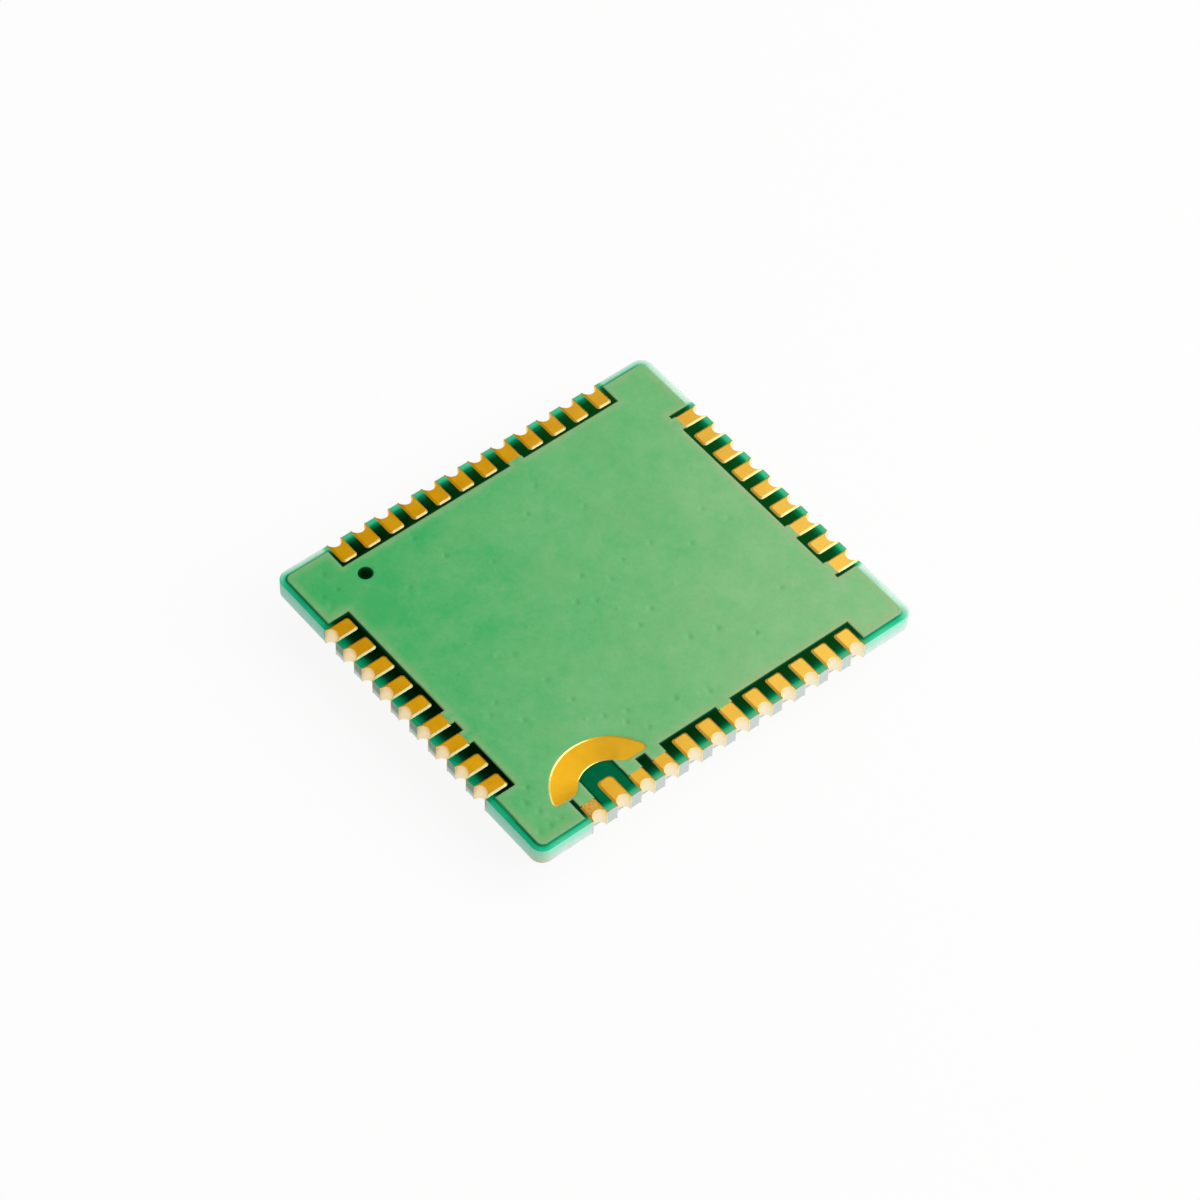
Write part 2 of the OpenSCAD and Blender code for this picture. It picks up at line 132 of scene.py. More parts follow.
def newMaterial(name):                 # empty, with the function that adds nodes to it
    material = bpy.data.materials.new(name)
    material.use_nodes = True
    material.node_tree.nodes.clear()
    return material, partial(addNode, material.node_tree, "ShaderNode")


def perMm(size):                       # texture scale that gives features of this size in millimetres
    return 1.0 / (size * mm)


def newObject(name, data):
    thing = bpy.data.objects.new(name, data)
    bpy.context.scene.collection.objects.link(thing)
    return thing


def dressMesh(mesh, materials, sharpDeg):      # smooth, apart from edges sharper than this
    for material in materials:
        mesh.materials.append(material)
    mesh.polygons.foreach_set("use_smooth", [True] * len(mesh.polygons))
    mesh.set_sharp_from_angle(angle=math.radians(sharpDeg))


def newPiece(name, mesh, materials, sharpDeg):
    dressMesh(mesh, materials, sharpDeg)
    return newObject(name, mesh)


def quarterTurn(steps):                # angles of a rounded corner
    return np.linspace(0, math.pi / 2, steps + 1)


# Materials

sheenSide = (0.75, -0.66, 0.0)          # painted sheen: mask and gold get paler towards this side of the board


def makeSolderMask(name, gloss):
    # Photo-imaged solder mask, curtain coated and baked: a satin green lacquer. Over copper it is light,
    # paler and greyer towards one side, which is a painted sheen, and yellower where it thins at the foil's
    # edges; over bare laminate it is nearly black, darker still at the left (painted shade), and the cut
    # edge of the board lights it from the side (painted light). Dents and the foot of the foil get painted
    # shade.
    material, add = newMaterial(name)
    place = add("NewGeometry")
    under, thin, glow, recessShade, greying = [
        add("Attribute", {"attribute_name": layer}).node.outputs["Fac"]
        for layer in ("copperUnder", "filmThin", "edgeGlow", "filmPool", "tabDust")
    ]
    cloud = add("TexNoise", {"Scale": perMm(3.2), "Detail": 7.0, "Roughness": 0.72}, {"Vector": place})
    haze = add("TexNoise", {"noise_dimensions": "4D", "W": 3.0, "Scale": perMm(2.1), "Detail": 3.0},
               {"Vector": place})
    mottle = add("TexNoise", {"noise_dimensions": "4D", "W": 7.0, "Scale": perMm(0.9), "Detail": 6.0,
                              "Roughness": 0.8}, {"Vector": place})
    peel = add("TexNoise", {"Scale": perMm(0.45), "Detail": 4.0, "Roughness": 0.7}, {"Vector": place})
    across = add("VectorMath", {"operation": "DOT_PRODUCT", 1: sheenSide}, {0: place})
    side = add("MapRange", {"From Min": -10 * mm, "From Max": 13 * mm}, {"Value": across})
    recessShaded = add("MapRange", {"To Max": 0.6}, {"Value": recessShade})

    # Over copper: paler towards one side (painted sheen), hazy in patches, thin at the edges of the foil,
    # and painted shade in the dents and at the foot of the foil
    drift = add("MapRange", {"To Min": -0.36, "To Max": 0.36}, {"Value": cloud})
    blotch = add("MapRange", {"To Min": -0.48, "To Max": 0.48}, {"Value": mottle})
    uneasy = add("Math", {"operation": "ADD"}, {0: drift, 1: blotch})
    shade = add("Math", {"operation": "ADD", "use_clamp": True}, {0: side, 1: uneasy})
    hazy = add("MapRange", {"From Min": 0.5, "From Max": 0.75, "To Max": 0.3}, {"Value": haze})
    uneven = add("MapRange", {"From Min": 0.35, "From Max": 0.65, "To Min": 0.3, "To Max": 0.75},
                 {"Value": cloud})
    towardsSheen = add("MapRange", {"From Min": 0.17, "From Max": 0.61, "To Min": 0.8}, {"Value": side})
    thinner = add("Math", {"operation": "MULTIPLY"}, {0: thin, 1: towardsSheen})
    weak = add("Math", {"operation": "MULTIPLY"}, {0: thinner, 1: uneven})
    onCopper = add("Mix", {"data_type": "RGBA", 6: "#40b363", 7: "#8fc588"}, {0: shade})
    for share, hexCode in ((hazy, "#84b572"), (weak, "#a2b785"), (recessShaded, "#2c7d49")):
        onCopper = add("Mix", {"data_type": "RGBA", 7: hexCode}, {0: share, 6: onCopper})

    # Over bare laminate: painted shade, darkest at the left; painted light in three steps towards the cut
    # edge, the last a pale glare; then a grey tone on the tabs, and painted shade in the dents and at the
    # foot of the foil
    along = add("SeparateXYZ", links={0: place})
    length = add("MapRange", {"From Min": -halfLength * mm, "From Max": halfLength * mm}, {"Value": along})
    flicker = add("MapRange", {"From Min": 0.3, "From Max": 0.7, "To Min": 0.86, "To Max": 1.1},
                  {"Value": haze})
    lively = add("Math", {"operation": "MULTIPLY"}, {0: glow, 1: flicker})
    faint, strong, pale = [
        add("MapRange", {"From Min": low, "From Max": high}, {"Value": lively})
        for low, high in ((0.0, 0.6), (0.6, 1.0), (1.0, 2.0))
    ]
    onBare = add("Mix", {"data_type": "RGBA", 6: "#000b00", 7: "#084614"}, {0: length})
    for share, hexCode in ((faint, "#018050"), (strong, "#28c892"), (pale, "#dcf3e4"), (greying, "#8c9c70"),
                           (recessShaded, "#02452a")):
        onBare = add("Mix", {"data_type": "RGBA", 7: hexCode}, {0: share, 6: onBare})

    colour = add("Mix", {"data_type": "RGBA"}, {0: under, 6: onBare, 7: onCopper})
    rough = add("MapRange", {"To Min": 0.22, "To Max": 0.36}, {"Value": peel})
    bump = add("Bump", {"Strength": 0.6, "Distance": 0.02 * mm}, {"Height": peel})
    surface = add("BsdfPrincipled", {"Specular IOR Level": gloss},
                  {"Base Color": colour, "Roughness": rough, "Normal": bump})
    add("OutputMaterial", links={"Surface": surface})
    return material


def makeGold(name, stainMm, darkHex, lightHex, paleHex, roughLow, roughHigh, scratch):
    # Immersion gold over plated copper: saturated yellow metal, paler towards one side of the board, which
    # is a painted sheen, satin from the grain of the copper below, with faint handling scratches and a clear
    # skin that whitens its highlights. Grain and scratches are drawn coarser than they are, to show.
    material, add = newMaterial(name)
    place = add("NewGeometry")
    grain = add("TexNoise", {"Scale": perMm(0.07), "Detail": 3.0}, {"Vector": place})
    stain = add("TexNoise", {"Scale": perMm(stainMm), "Detail": 3.0}, {"Vector": place})
    turned = add("Mapping", {"Rotation": (0, 0, 0.6), "Scale": (0.05, 1.0, 1.0)}, {"Vector": place})
    lines = add("TexNoise", {"Scale": perMm(0.06), "Detail": 2.0}, {"Vector": turned})
    cut = add("MapRange", {"From Min": 0.62, "From Max": 0.7, "To Max": scratch}, {"Value": lines})
    spotted = add("MapRange", {"From Min": 0.3, "From Max": 0.7}, {"Value": stain})
    across = add("VectorMath", {"operation": "DOT_PRODUCT", 1: sheenSide}, {0: place})
    side = add("MapRange", {"From Min": -4 * mm, "From Max": 8 * mm, "To Max": 0.8}, {"Value": across})
    base = add("Mix", {"data_type": "RGBA", 6: darkHex, 7: lightHex}, {0: spotted})
    colour = add("Mix", {"data_type": "RGBA", 7: paleHex}, {0: side, 6: base})
    rough = add("MapRange", {"To Min": roughLow, "To Max": roughHigh}, {"Value": grain})
    height = add("Math", {"operation": "SUBTRACT"}, {0: grain, 1: cut})
    bump = add("Bump", {"Strength": 0.3, "Distance": 0.004 * mm}, {"Height": height})
    surface = add("BsdfPrincipled", {"Metallic": 1.0, "Coat Weight": 0.1, "Coat Roughness": 0.3},
                  {"Base Color": colour, "Roughness": rough, "Normal": bump})
    add("OutputMaterial", links={"Surface": surface})
    return material


def makePaleGold():
    # Thin gold in the drilled half-holes: duller than the flat faces, from the rough drilled wall, and
    # paler, which is painted light. It is paler still towards one side (painted sheen) and low on the wall
    # (painted light from the floor), yellower near the pad, cream on the walls that face the front (painted
    # highlight) and warmer on those that face the back (painted shade). The grain of the wall is drawn
    # coarser than it is, to show.
    material, add = newMaterial("immersionGoldThin")
    place = add("NewGeometry")
    grain = add("TexNoise", {"Scale": perMm(0.12), "Detail": 3.0}, {"Vector": place})
    across = add("VectorMath", {"operation": "DOT_PRODUCT", 1: sheenSide}, {0: place})
    side = add("MapRange", {"From Min": -6 * mm, "From Max": 4 * mm}, {"Value": across})
    level = add("SeparateXYZ", links={0: place}).node.outputs["Z"]
    upper = add("MapRange", {"From Min": (boardHigh.z - 0.3) * mm, "From Max": padPlane * mm},
                {"Value": level})
    facing = add("SeparateXYZ", links={0: place.node.outputs["Normal"]}).node.outputs["Y"]
    frontward = add("MapRange", {"From Min": 0.0, "From Max": -0.9, "To Max": 0.6}, {"Value": facing})
    backward = add("MapRange", {"From Min": 0.1, "From Max": 0.9, "To Max": 0.5}, {"Value": facing})
    base = add("Mix", {"data_type": "RGBA", 6: "#f6d79a", 7: "#fbe3b2"}, {0: grain})
    bright = add("Mix", {"data_type": "RGBA", 7: "#fff3d4"}, {0: side, 6: base})
    near = add("Mix", {"data_type": "RGBA", 6: "#e9b23c", 7: "#fcdd7c"}, {0: side})
    colour = add("Mix", {"data_type": "RGBA"}, {0: upper, 6: bright, 7: near})
    for share, hexCode in ((frontward, "#fff4d4"), (backward, "#f2c687")):
        colour = add("Mix", {"data_type": "RGBA", 7: hexCode}, {0: share, 6: colour})
    rough = add("MapRange", {"To Min": 0.4, "To Max": 0.55}, {"Value": grain})
    surface = add("BsdfPrincipled", {"Metallic": 1.0}, {"Base Color": colour, "Roughness": rough})
    add("OutputMaterial", links={"Surface": surface})
    return material


def makeLaminate():
    # Glass-epoxy laminate, routed at the edges: pale grey, mint under the mask and duller on the short walls
    # between the half-holes, with the plies showing as fine level lines, and a corner yellowed by the
    # router.
    # Walls that face left are painted paler and mint (painted light), and the short ones among them darker
    # near the top (painted shade).
    cornerSpot = Vector((boardLow.x + 0.15, boardLow.y + 0.15, boardLow.z + 0.1))
    material, add = newMaterial("glassEpoxyRouted")
    place = add("NewGeometry")
    short = add("Attribute", {"attribute_name": "tabWall"}).node.outputs["Fac"]
    stretch = add("Mapping", {"Scale": (0.12, 0.12, 1.0)}, {"Vector": place})
    plies = add("TexNoise", {"Scale": perMm(0.09), "Detail": 2.0}, {"Vector": stretch})
    cloud = add("TexNoise", {"Scale": perMm(0.6), "Detail": 2.0}, {"Vector": place})
    yellowed = add("MapRange", {"From Min": 0.5, "From Max": 0.8}, {"Value": cloud})
    upright = add("Mapping", {"Scale": (1.0, 1.0, 0.15)}, {"Vector": place})
    fibres = add("TexNoise", {"Scale": perMm(0.3), "Detail": 3.0}, {"Vector": upright})
    streaks = add("MapRange", {"From Min": 0.4, "From Max": 0.75, "To Max": 0.55}, {"Value": fibres})
    facing = add("SeparateXYZ", links={0: place.node.outputs["Normal"]})
    leftward = add("MapRange", {"From Min": 0.0, "From Max": -0.8}, {"Value": facing})
    toCorner = add("VectorMath", {"operation": "DISTANCE", 1: cornerSpot * mm}, {0: place})
    burnt = add("MapRange", {"From Min": 0.75 * mm, "From Max": 0.2 * mm, "To Max": 0.7},
                {"Value": toCorner})
    level = add("SeparateXYZ", links={0: place}).node.outputs["Z"]
    minty, edgeDark = [
        add("MapRange", {"From Min": (boardHigh.z - low) * mm, "From Max": (boardHigh.z - high) * mm,
                         "interpolation_type": "SMOOTHSTEP"}, {"Value": level})
        for low, high in ((0.75, 0.0), (0.62, 0.3))
    ]
    plain = add("Mix", {"data_type": "RGBA", 6: "#ccd6d6", 7: "#e8f0ee"}, {0: plies})
    for share, hexCode in ((yellowed, "#d4dcc0"), (streaks, "#eef4f0"), (leftward, "#c8f5e4"),
                           (burnt, "#d8d49c"), (minty, "#96e6ca")):
        plain = add("Mix", {"data_type": "RGBA", 7: hexCode}, {0: share, 6: plain})
    # Painted shade and light on the short walls that face left: darker near the top, paler below
    leftTopShade = add("Math", {"operation": "MULTIPLY"}, {0: edgeDark, 1: leftward})
    tabWallLitLeft = add("Mix", {"data_type": "RGBA", 6: "#c6cfcc", 7: "#eef0ef"}, {0: leftward})
    dull = add("Mix", {"data_type": "RGBA", 7: "#88ad92"}, {0: leftTopShade, 6: tabWallLitLeft})
    colour = add("Mix", {"data_type": "RGBA"}, {0: short, 6: plain, 7: dull})
    bump = add("Bump", {"Strength": 0.5, "Distance": 0.01 * mm}, {"Height": plies})
    surface = add("BsdfPrincipled", {"Roughness": 0.62}, {"Base Color": colour, "Normal": bump})
    add("OutputMaterial", links={"Surface": surface})
    return material


def makePlain(name, darkHex, lightHex, grainMm, roughLow, roughHigh, metallic=0.0, depthMm=0.004,
              strength=0.3, linesMm=None):
    # Two close tones of one finish, in grains of a given size; the note beside each use says which finish.
    # A rolled one has fine lines along X in place of the raised grain. Grains and lines that are too fine
    # to show are drawn coarser.
    material, add = newMaterial(name)
    place = add("NewGeometry")
    grain = add("TexNoise", {"Scale": perMm(grainMm), "Detail": 4.0 if linesMm else 3.0}, {"Vector": place})
    height = grain
    if linesMm:
        stretch = add("Mapping", {"Scale": (0.04, 1.0, 1.0)}, {"Vector": place})
        height = add("TexNoise", {"Scale": perMm(linesMm), "Detail": 3.0}, {"Vector": stretch})
    colour = add("Mix", {"data_type": "RGBA", 6: darkHex, 7: lightHex}, {0: grain})
    rough = add("MapRange", {"To Min": roughLow, "To Max": roughHigh}, {"Value": grain})
    bump = add("Bump", {"Strength": strength, "Distance": depthMm * mm}, {"Height": height})
    surface = add("BsdfPrincipled", {"Metallic": metallic},
                  {"Base Color": colour, "Roughness": rough, "Normal": bump})
    add("OutputMaterial", links={"Surface": surface})
    return material


maskOnCopper = makeSolderMask("solderMaskOnCopper", 0.15)
maskOnLaminate = makeSolderMask("solderMaskOnLaminate", 0.0)
gold, rimGold, flankGold, flankWarm, ringGold, grainyGold = [makeGold(*values) for values in (
    # name, size of the stains, dark, light and pale tone, roughness from and to, depth of the scratches
    ("immersionGoldSatin", 0.7, "#e6a000", "#f2b40c", "#f9ca58", 0.26, 0.42, 0.15),     # clean yellow
    ("immersionGoldRimAndHighlight", 0.3, "#eabc58", "#f2cc76", "#f7d892", 0.2, 0.3, 0.0),    # pale: the etched edges of the foil, and a painted highlight on the ring's lit slope
    ("immersionGoldFlankHighlightPale", 0.3, "#aeac78", "#bcbc8c", "#ffeeb0", 0.45, 0.55, 0.0),  # dull, greenish: front flanks of the left row, toned to paint their highlight
    ("immersionGoldFlankHighlightWarm", 0.3, "#c2ac6c", "#ccb87c", "#d8c488", 0.42, 0.52, 0.0),  # dull, warmer: front flanks of the other rows, toned to paint their highlight
    ("immersionGoldHandled", 0.4, "#e8a803", "#f0b208", "#fac840", 0.29, 0.45, 0.6),    # scratched
    ("immersionGoldGrainy", 0.1, "#c07a06", "#ecc058", "#f3c45a", 0.3, 0.5, 0.15),      # speckled brown
)]
paleGold = makePaleGold()
laminate = makeLaminate()
# Tin-plated steel strip, stamped and folded: dull grey metal with faint rolling lines and cloudy plating
tinnedSheet = makePlain("tinnedSteelRolled", "#c4c3be", "#dad9d4", 2.2, 0.28, 0.46, metallic=1.0,
                        depthMm=0.006, strength=0.25, linesMm=0.09)
finishes = {key: makePlain(*values) for key, values in {
    # name, dark and light tone, size of the grains, roughness from and to, metal
    "maskPlain": ("solderMaskPlainGreen", "#2f8f4e", "#4aa866", 0.9, 0.38, 0.52),     # satin green lacquer
    "solder": ("tinSolderReflowed", "#bdbdba", "#d8d8d4", 0.15, 0.2, 0.38, 1.0),      # bright, faint grain
    "mouldCompound": ("epoxyMouldCompound", "#1d1e20", "#2d2e31", 0.06, 0.55, 0.75),  # dull black, fine grit
    "filterCeramic": ("aluminaFired", "#8b8576", "#a39c8b", 0.08, 0.5, 0.65),         # matt, even
    "darkCeramic": ("aluminaDarkFired", "#3d3a35", "#514d46", 0.08, 0.5, 0.65),       # matt, dark
    "lidMetal": ("nickelAlloyRolled", "#cbc5b2", "#ded9c9", 0.1, 0.25, 0.4, 1.0),     # warm satin metal
    "capacitorCeramic": ("titanateFired", "#94724c", "#b08d63", 0.05, 0.35, 0.5),     # brown, faint gloss
    "tin": ("tinPlated", "#bcbcb9", "#d2d2ce", 0.08, 0.3, 0.45, 1.0),                 # pale satin metal
    "glaze": ("glassGlaze", "#141416", "#222226", 0.1, 0.2, 0.35),                    # glossy black
}.items()}
print("materials:", len(bpy.data.materials))


# Contacts: each is a section lofted round the half-hole, from one side of the pad to the other

contactShape = {
    "holeRadius": 0.325,        # drilled
    "plating": 0.03,
    "bevel": 0.09,              # sloping flank of the pad
    "flank": ((0.0, 0.0), (0.04, 0.06), (0.9, 0.93), (1.0, 1.0)),   # shares of the bevel and of the height
    "cornerRadius": 0.13,       # inner corners of the pad, in plan
    "antennaCornerRadius": 0.22,
    "groundCornerRadius": 0.03,
    "leastRadius": 0.02,        # of the corners at the top of the flank
    "landLength": 0.5,
    "landRadius": 0.06,
    "rim": 0.02,                # rounding where the barrel meets the faces
    "rimShare": 0.3,            # share of it at the middle of the round
    "rayHalvings": 40,          # steps that find the outline
    "stations": 61,
    "cornerStep": 0.022,        # radians between the extra stations at each corner, and their numbers
    "cornerRange": (-2, 7),
    "sharpDeg": 40,
    "levelNormal": 0.9,         # a face whose normal rises more than this is level
    "flankNormal": 0.3,         # and one that rises more than this is a flank
    "frontFlank": -0.45,        # flanks that look to the front, towards the light, more than this get a copy of the gold that paints their highlight
}
faceStart = 3      # the face of the pad lies between this point of a section and the next
barrelEnd = 9      # the barrel and the face of the land end at this one
onFace, onBarrel, onFlank = range(3)       # places of the materials of a contact


def rayReach(angle, halfWide, length, radius):     # from the hole's centre to the outline of a rounded pad
    c, s = math.cos(angle), math.sin(angle)
    low, high = 0.0, far
    for _ in range(contactShape["rayHalvings"]):
        middle = (low + high) / 2
        dx = abs(c * middle) - (halfWide - radius)
        dy = s * middle - (length - radius)
        outside = math.hypot(max(dx, 0), max(dy, 0)) + min(max(dx, dy), 0) - radius
        low, high = (low, middle) if outside > 0 else (middle, high)
    return low


def contactSections(length, joined, radius):
    shape = contactShape
    half = padWidth / 2
    bore = shape["holeRadius"] - shape["plating"]
    rim = shape["rim"]
    topLength = length if joined else length - shape["bevel"]
    topRadius = max(radius - shape["bevel"] / 2, shape["leastRadius"])
    corner = math.atan2(topLength - topRadius, half - shape["bevel"])
    angles = [math.pi * i / (shape["stations"] - 1) for i in range(shape["stations"])]
    near = [corner + shape["cornerStep"] * i for i in range(*shape["cornerRange"])]
    sections = []
    for angle in sorted(angles + near + [math.pi - a for a in near]):
        ray = Vector((math.cos(angle), math.sin(angle)))
        foot = rayReach(angle, half, length, radius)
        top = rayReach(angle, half - shape["bevel"], topLength, topRadius)
        land = rayReach(angle, half, shape["landLength"], shape["landRadius"])
        climb = 1.0
        if top < bore + rim:            # beside the hole the flank runs straight into the rim
            climb = (foot - bore - rim) / (foot - top)
            top = bore + rim
        rise = copperThick * climb
        zTop = boardHigh.z + rise
        profile = [(foot + (top - foot) * inward, boardHigh.z + rise * up) for inward, up in shape["flank"]]
        profile += [
            (bore + rim, zTop),
            (bore + rim * shape["rimShare"], zTop - rim * shape["rimShare"]),
            (bore, zTop - rim),
            (bore, landPlane + rim),
            (bore + rim, landPlane),
            (land, landPlane),
            (land, boardLow.z),
            (shape["holeRadius"], boardLow.z),
            (shape["holeRadius"], boardHigh.z),
        ]
        sections.append((climb == 1.0, [(*(ray * reach), z) for reach, z in profile]))
    return sections


def flattenFace(mesh):                 # keeps the shading of the pad's face level up to its edges
    face = max(mesh.polygons, key=lambda p: p.area if p.normal.z > contactShape["levelNormal"] else 0)
    level = set(face.vertices)
    normals = [n.vector.copy() for n in mesh.corner_normals]
    for polygon in mesh.polygons:
        for corner in polygon.loop_indices:
            if polygon.normal.z > contactShape["flankNormal"] and mesh.loops[corner].vertex_index in level:
                normals[corner] = Vector((0, 0, 1))
    mesh.normals_split_custom_set(normals)


def loftContact(length, joined, radius, face, edge):
    mesh = bpy.data.meshes.new("contactForm")
    bm = bmesh.new()
    sections = contactSections(length, joined, radius)
    rings = [[bm.verts.new([c * mm for c in p]) for p in ring] for full, ring in sections]
    flat = [i for i, (full, ring) in enumerate(sections) if full]
    count = len(rings[0])
    for k, (one, two) in enumerate(zip(rings, rings[1:])):
        for i in range(count):
            if i == faceStart and k in flat and k + 1 in flat:
                continue
            j = (i + 1) % count
            finish = onFlank if i < faceStart else onBarrel if faceStart < i < barrelEnd else onFace
            bm.faces.new((one[i], one[j], two[j], two[i])).material_index = finish
    bm.faces.new([rings[k][faceStart] for k in flat] + [rings[k][faceStart + 1] for k in reversed(flat)])
    for end in (rings[0], list(reversed(rings[-1]))):
        bm.faces.new(end).material_index = onBarrel
    bmesh.ops.remove_doubles(bm, verts=bm.verts, dist=samePoint * mm)
    bmesh.ops.recalc_face_normals(bm, faces=bm.faces)
    turned = Matrix.Rotation(edgeTurn[edge], 3, "Z")
    for quad in bm.faces:
        toBack = (turned @ quad.normal).xy.normalized().y
        if quad.material_index == onFlank and toBack > contactShape["frontFlank"]:
            quad.material_index = onFace
    bm.to_mesh(mesh)
    bm.free()
    # Painted highlight: front flanks keep a gold toned for their glint, pale on the left row, warmer on the
    # others
    golds = [face, paleGold, flankGold if edge == leftEdge else flankWarm]
    dressMesh(mesh, golds, contactShape["sharpDeg"])
    flattenFace(mesh)
    return mesh


groundContacts = [8, 13, 19, 21, 27, 30, 31, 33, 36, 37]   # joined to the pour
grainyContact = 33
contactMeshes = {}
for number, contact in enumerate(contacts, 1):
    contact["ground"] = number in groundContacts
    isAntenna = contact is antenna
    isGrainy = number == grainyContact
    form = (round(contact["length"], 3), contact["ground"], isAntenna, isGrainy, contact["edge"])
    contact["radius"] = contactShape["groundCornerRadius" if contact["ground"] else
                                     "antennaCornerRadius" if isAntenna else "cornerRadius"]
    if form not in contactMeshes:
        contactMeshes[form] = loftContact(contact["length"], contact["ground"], contact["radius"],
                                          grainyGold if isGrainy else gold, contact["edge"])
    piece = newObject("padContact" + contact["name"][-3:], contactMeshes[form])
    x, y = onBoard(contact["edge"], contact["along"], 0.0)
    turned = Matrix.Rotation(edgeTurn[contact["edge"]], 4, "Z")
    piece.matrix_world = Matrix.Translation((x * mm, y * mm, 0)) @ turned
    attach(piece, "root")
    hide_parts(contact["name"])
print("contacts:", len(contacts), "from", len(contactMeshes), "forms")


# Laminate: the board's outline with its half-holes, walled and closed

boardShape = {
    "cornerRadius": 0.5,
    "edgeBreak": 0.012,         # tiny bevel left by the router
    "plainFrom": 0.12,          # a row of half-holes to the plain edge beside it
    "cornerSteps": 16,
    "holeSteps": 24,
    "sharpDeg": 35,
}


def boardOutline(inset, holes=True):   # a row of half-holes has a plain point just before and after it
    radius = boardShape["cornerRadius"]
    reach = radius - inset
    hole = contactShape["holeRadius"] + inset
    start = math.asin(inset / hole)
    points = []
    for edge in range(4):
        row = rows[edge] if holes else []
        path = [(contact["along"] - hole * math.cos(turn), hole * math.sin(turn)) for contact in row
                for turn in np.linspace(start, math.pi - start, boardShape["holeSteps"] + 1)]
        if row:
            beside = hole + boardShape["plainFrom"]
            path = [(row[0]["along"] - beside, inset)] + path + [(row[-1]["along"] + beside, inset)]
        for turn in quarterTurn(boardShape["cornerSteps"]):
            path.append((edgeHalf[edge] - radius + reach * math.sin(turn), radius - reach * math.cos(turn)))
        points += [onBoard(edge, along, deep) for along, deep in path]
    return points


def makeLaminatePiece():
    mesh = bpy.data.meshes.new("boardLaminate")
    bm = bmesh.new()
    edgeBreak = boardShape["edgeBreak"]
    levels = [(edgeBreak, boardLow.z), (0.0, boardLow.z + edgeBreak),
              (0.0, boardHigh.z - edgeBreak), (edgeBreak, boardHigh.z)]
    loops = [[bm.verts.new((x * mm, y * mm, z * mm)) for x, y in boardOutline(inset)] for inset, z in levels]
    for lower, upper in zip(loops, loops[1:]):
        for i in range(len(lower)):
            j = (i + 1) % len(lower)
            bm.faces.new((lower[i], upper[i], upper[j], lower[j]))
    bm.faces.new(loops[0])
    bm.faces.new(list(reversed(loops[-1])))
    bmesh.ops.recalc_face_normals(bm, faces=bm.faces)
    bm.to_mesh(mesh)
    bm.free()
    isTab = []
    for row in rows:
        isTab += [0.0] + [1.0] * len(row) * (boardShape["holeSteps"] + 1)
        isTab += [0.0] * (boardShape["cornerSteps"] + 2)
    layer = mesh.attributes.new("tabWall", "FLOAT", "POINT")
    layer.data.foreach_set("value", isTab * len(levels))
    piece = newPiece("boardLaminate", mesh, [laminate], boardShape["sharpDeg"])
    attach(piece, "root")
    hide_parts("board_laminate")


makeLaminatePiece()
print("laminate: done")


# Outlines of the foil and of the openings in the film

foil = {
    "inset": 0.28,              # edge of the board to the pour
    "cornerRadius": 0.25,
    "windowDepth": 1.2,         # window along each row of contacts
    "windowEndGap": 0.15,
    "tongueWidth": 0.64,        # tongues that join the ground contacts
    "tongueRoot": 0.6,          # how far a tongue reaches back into the pour
    "dotDiameter": 0.6,         # opening that marks the first contact
    "dotDepth": 1.93,
    "ringOuter": 2.25,          # bare ring round the antenna contact
    "ringInner": 1.2,
    "ringDepth": 0.74,
    "ringCut": 1.3,
    "ringLeftDrop": 0.06,       # the left end of the ring reaches this much nearer to the edge
    "ringEndRadius": 0.25,
    "gapWidth": 1.54,
    "cornerSteps": 8,
    "gapSteps": 24,
    "ringSteps": 48,
    "ringEndSteps": 6,
    "dotSteps": 28,
    "flank": 0.045,             # etched slope of the foil's edge: shares of its width and of its height
    "slopeIn": (0.0, 0.3, 0.75, 1.0),
    "slopeUp": (0.0, 0.5, 0.93, 1.0),
}
dotCentre = onBoard(backEdge, rows[backEdge][0]["along"], foil["dotDepth"])
dotRadius = foil["dotDiameter"] / 2
ringCentre = onBoard(antenna["edge"], antenna["along"], foil["ringDepth"])

film = {
    "inset": 0.015,             # edge of the board to the film
    "padGap": -0.004,           # the film just closes on the foot of a pad
    "groundLap": 0.03,          # the film lies on the end of a pad that joins the pour
    "pastEdge": 0.3,            # openings of the pads run on past the edge of the board
    "grainRoom": 0.012,         # the film lies this much below its packed height: room for the grains
    "drapeOut": 0.06,           # the film comes down over this width outside the foil
    "drapeIn": 0.03,            # and rounds over this width inside it
    "lip": 0.05,                # rounding beside an opening
    "lipDrop": 0.012,
    "leastThick": 0.1,          # share of the film's thickness that is left everywhere
    "tongueLap": 0.05,          # the film's loops follow a tongue under its pad this far
    "tongueField": 0.3,         # and the film drapes as if it went this far
    "gridStep": 0.17,
    "gridShake": 0.3,           # share of the step
    "loopStep": 0.1,
    "leastDot": 0.3,            # radius of the smallest loop in the dot, as a share of it
    "ringStep": 0.05,
    "cornerSteps": 5,
    "rimOffsets": (0.0, 0.012, 0.03, 0.06),
    "foilOffsets": (0.1, 0.06, 0.035, 0.01, -0.012, -0.03, -0.09, -0.2, -0.36),
    "lipOffsets": (0.0, 0.012, 0.028, 0.05, 0.09),
    "dentRings": (0.35, 0.7, 1.05, 1.4, 1.8, 2.4),
    "sharpDeg": 60,
    "seed": 7,
}


def spread(points, step):              # adds points so that no stretch is longer than step
    out = []
    for (ax, ay), (bx, by) in zip(points, points[1:] + points[:1]):
        count = max(1, math.ceil(math.hypot(bx - ax, by - ay) / step))
        out += [(ax + (bx - ax) * i / count, ay + (by - ay) * i / count) for i in range(count)]
    return out


def windowReach(edge):                 # half the length of the window along a row
    return rows[edge][-1]["along"] + padWidth / 2 + foil["windowEndGap"]


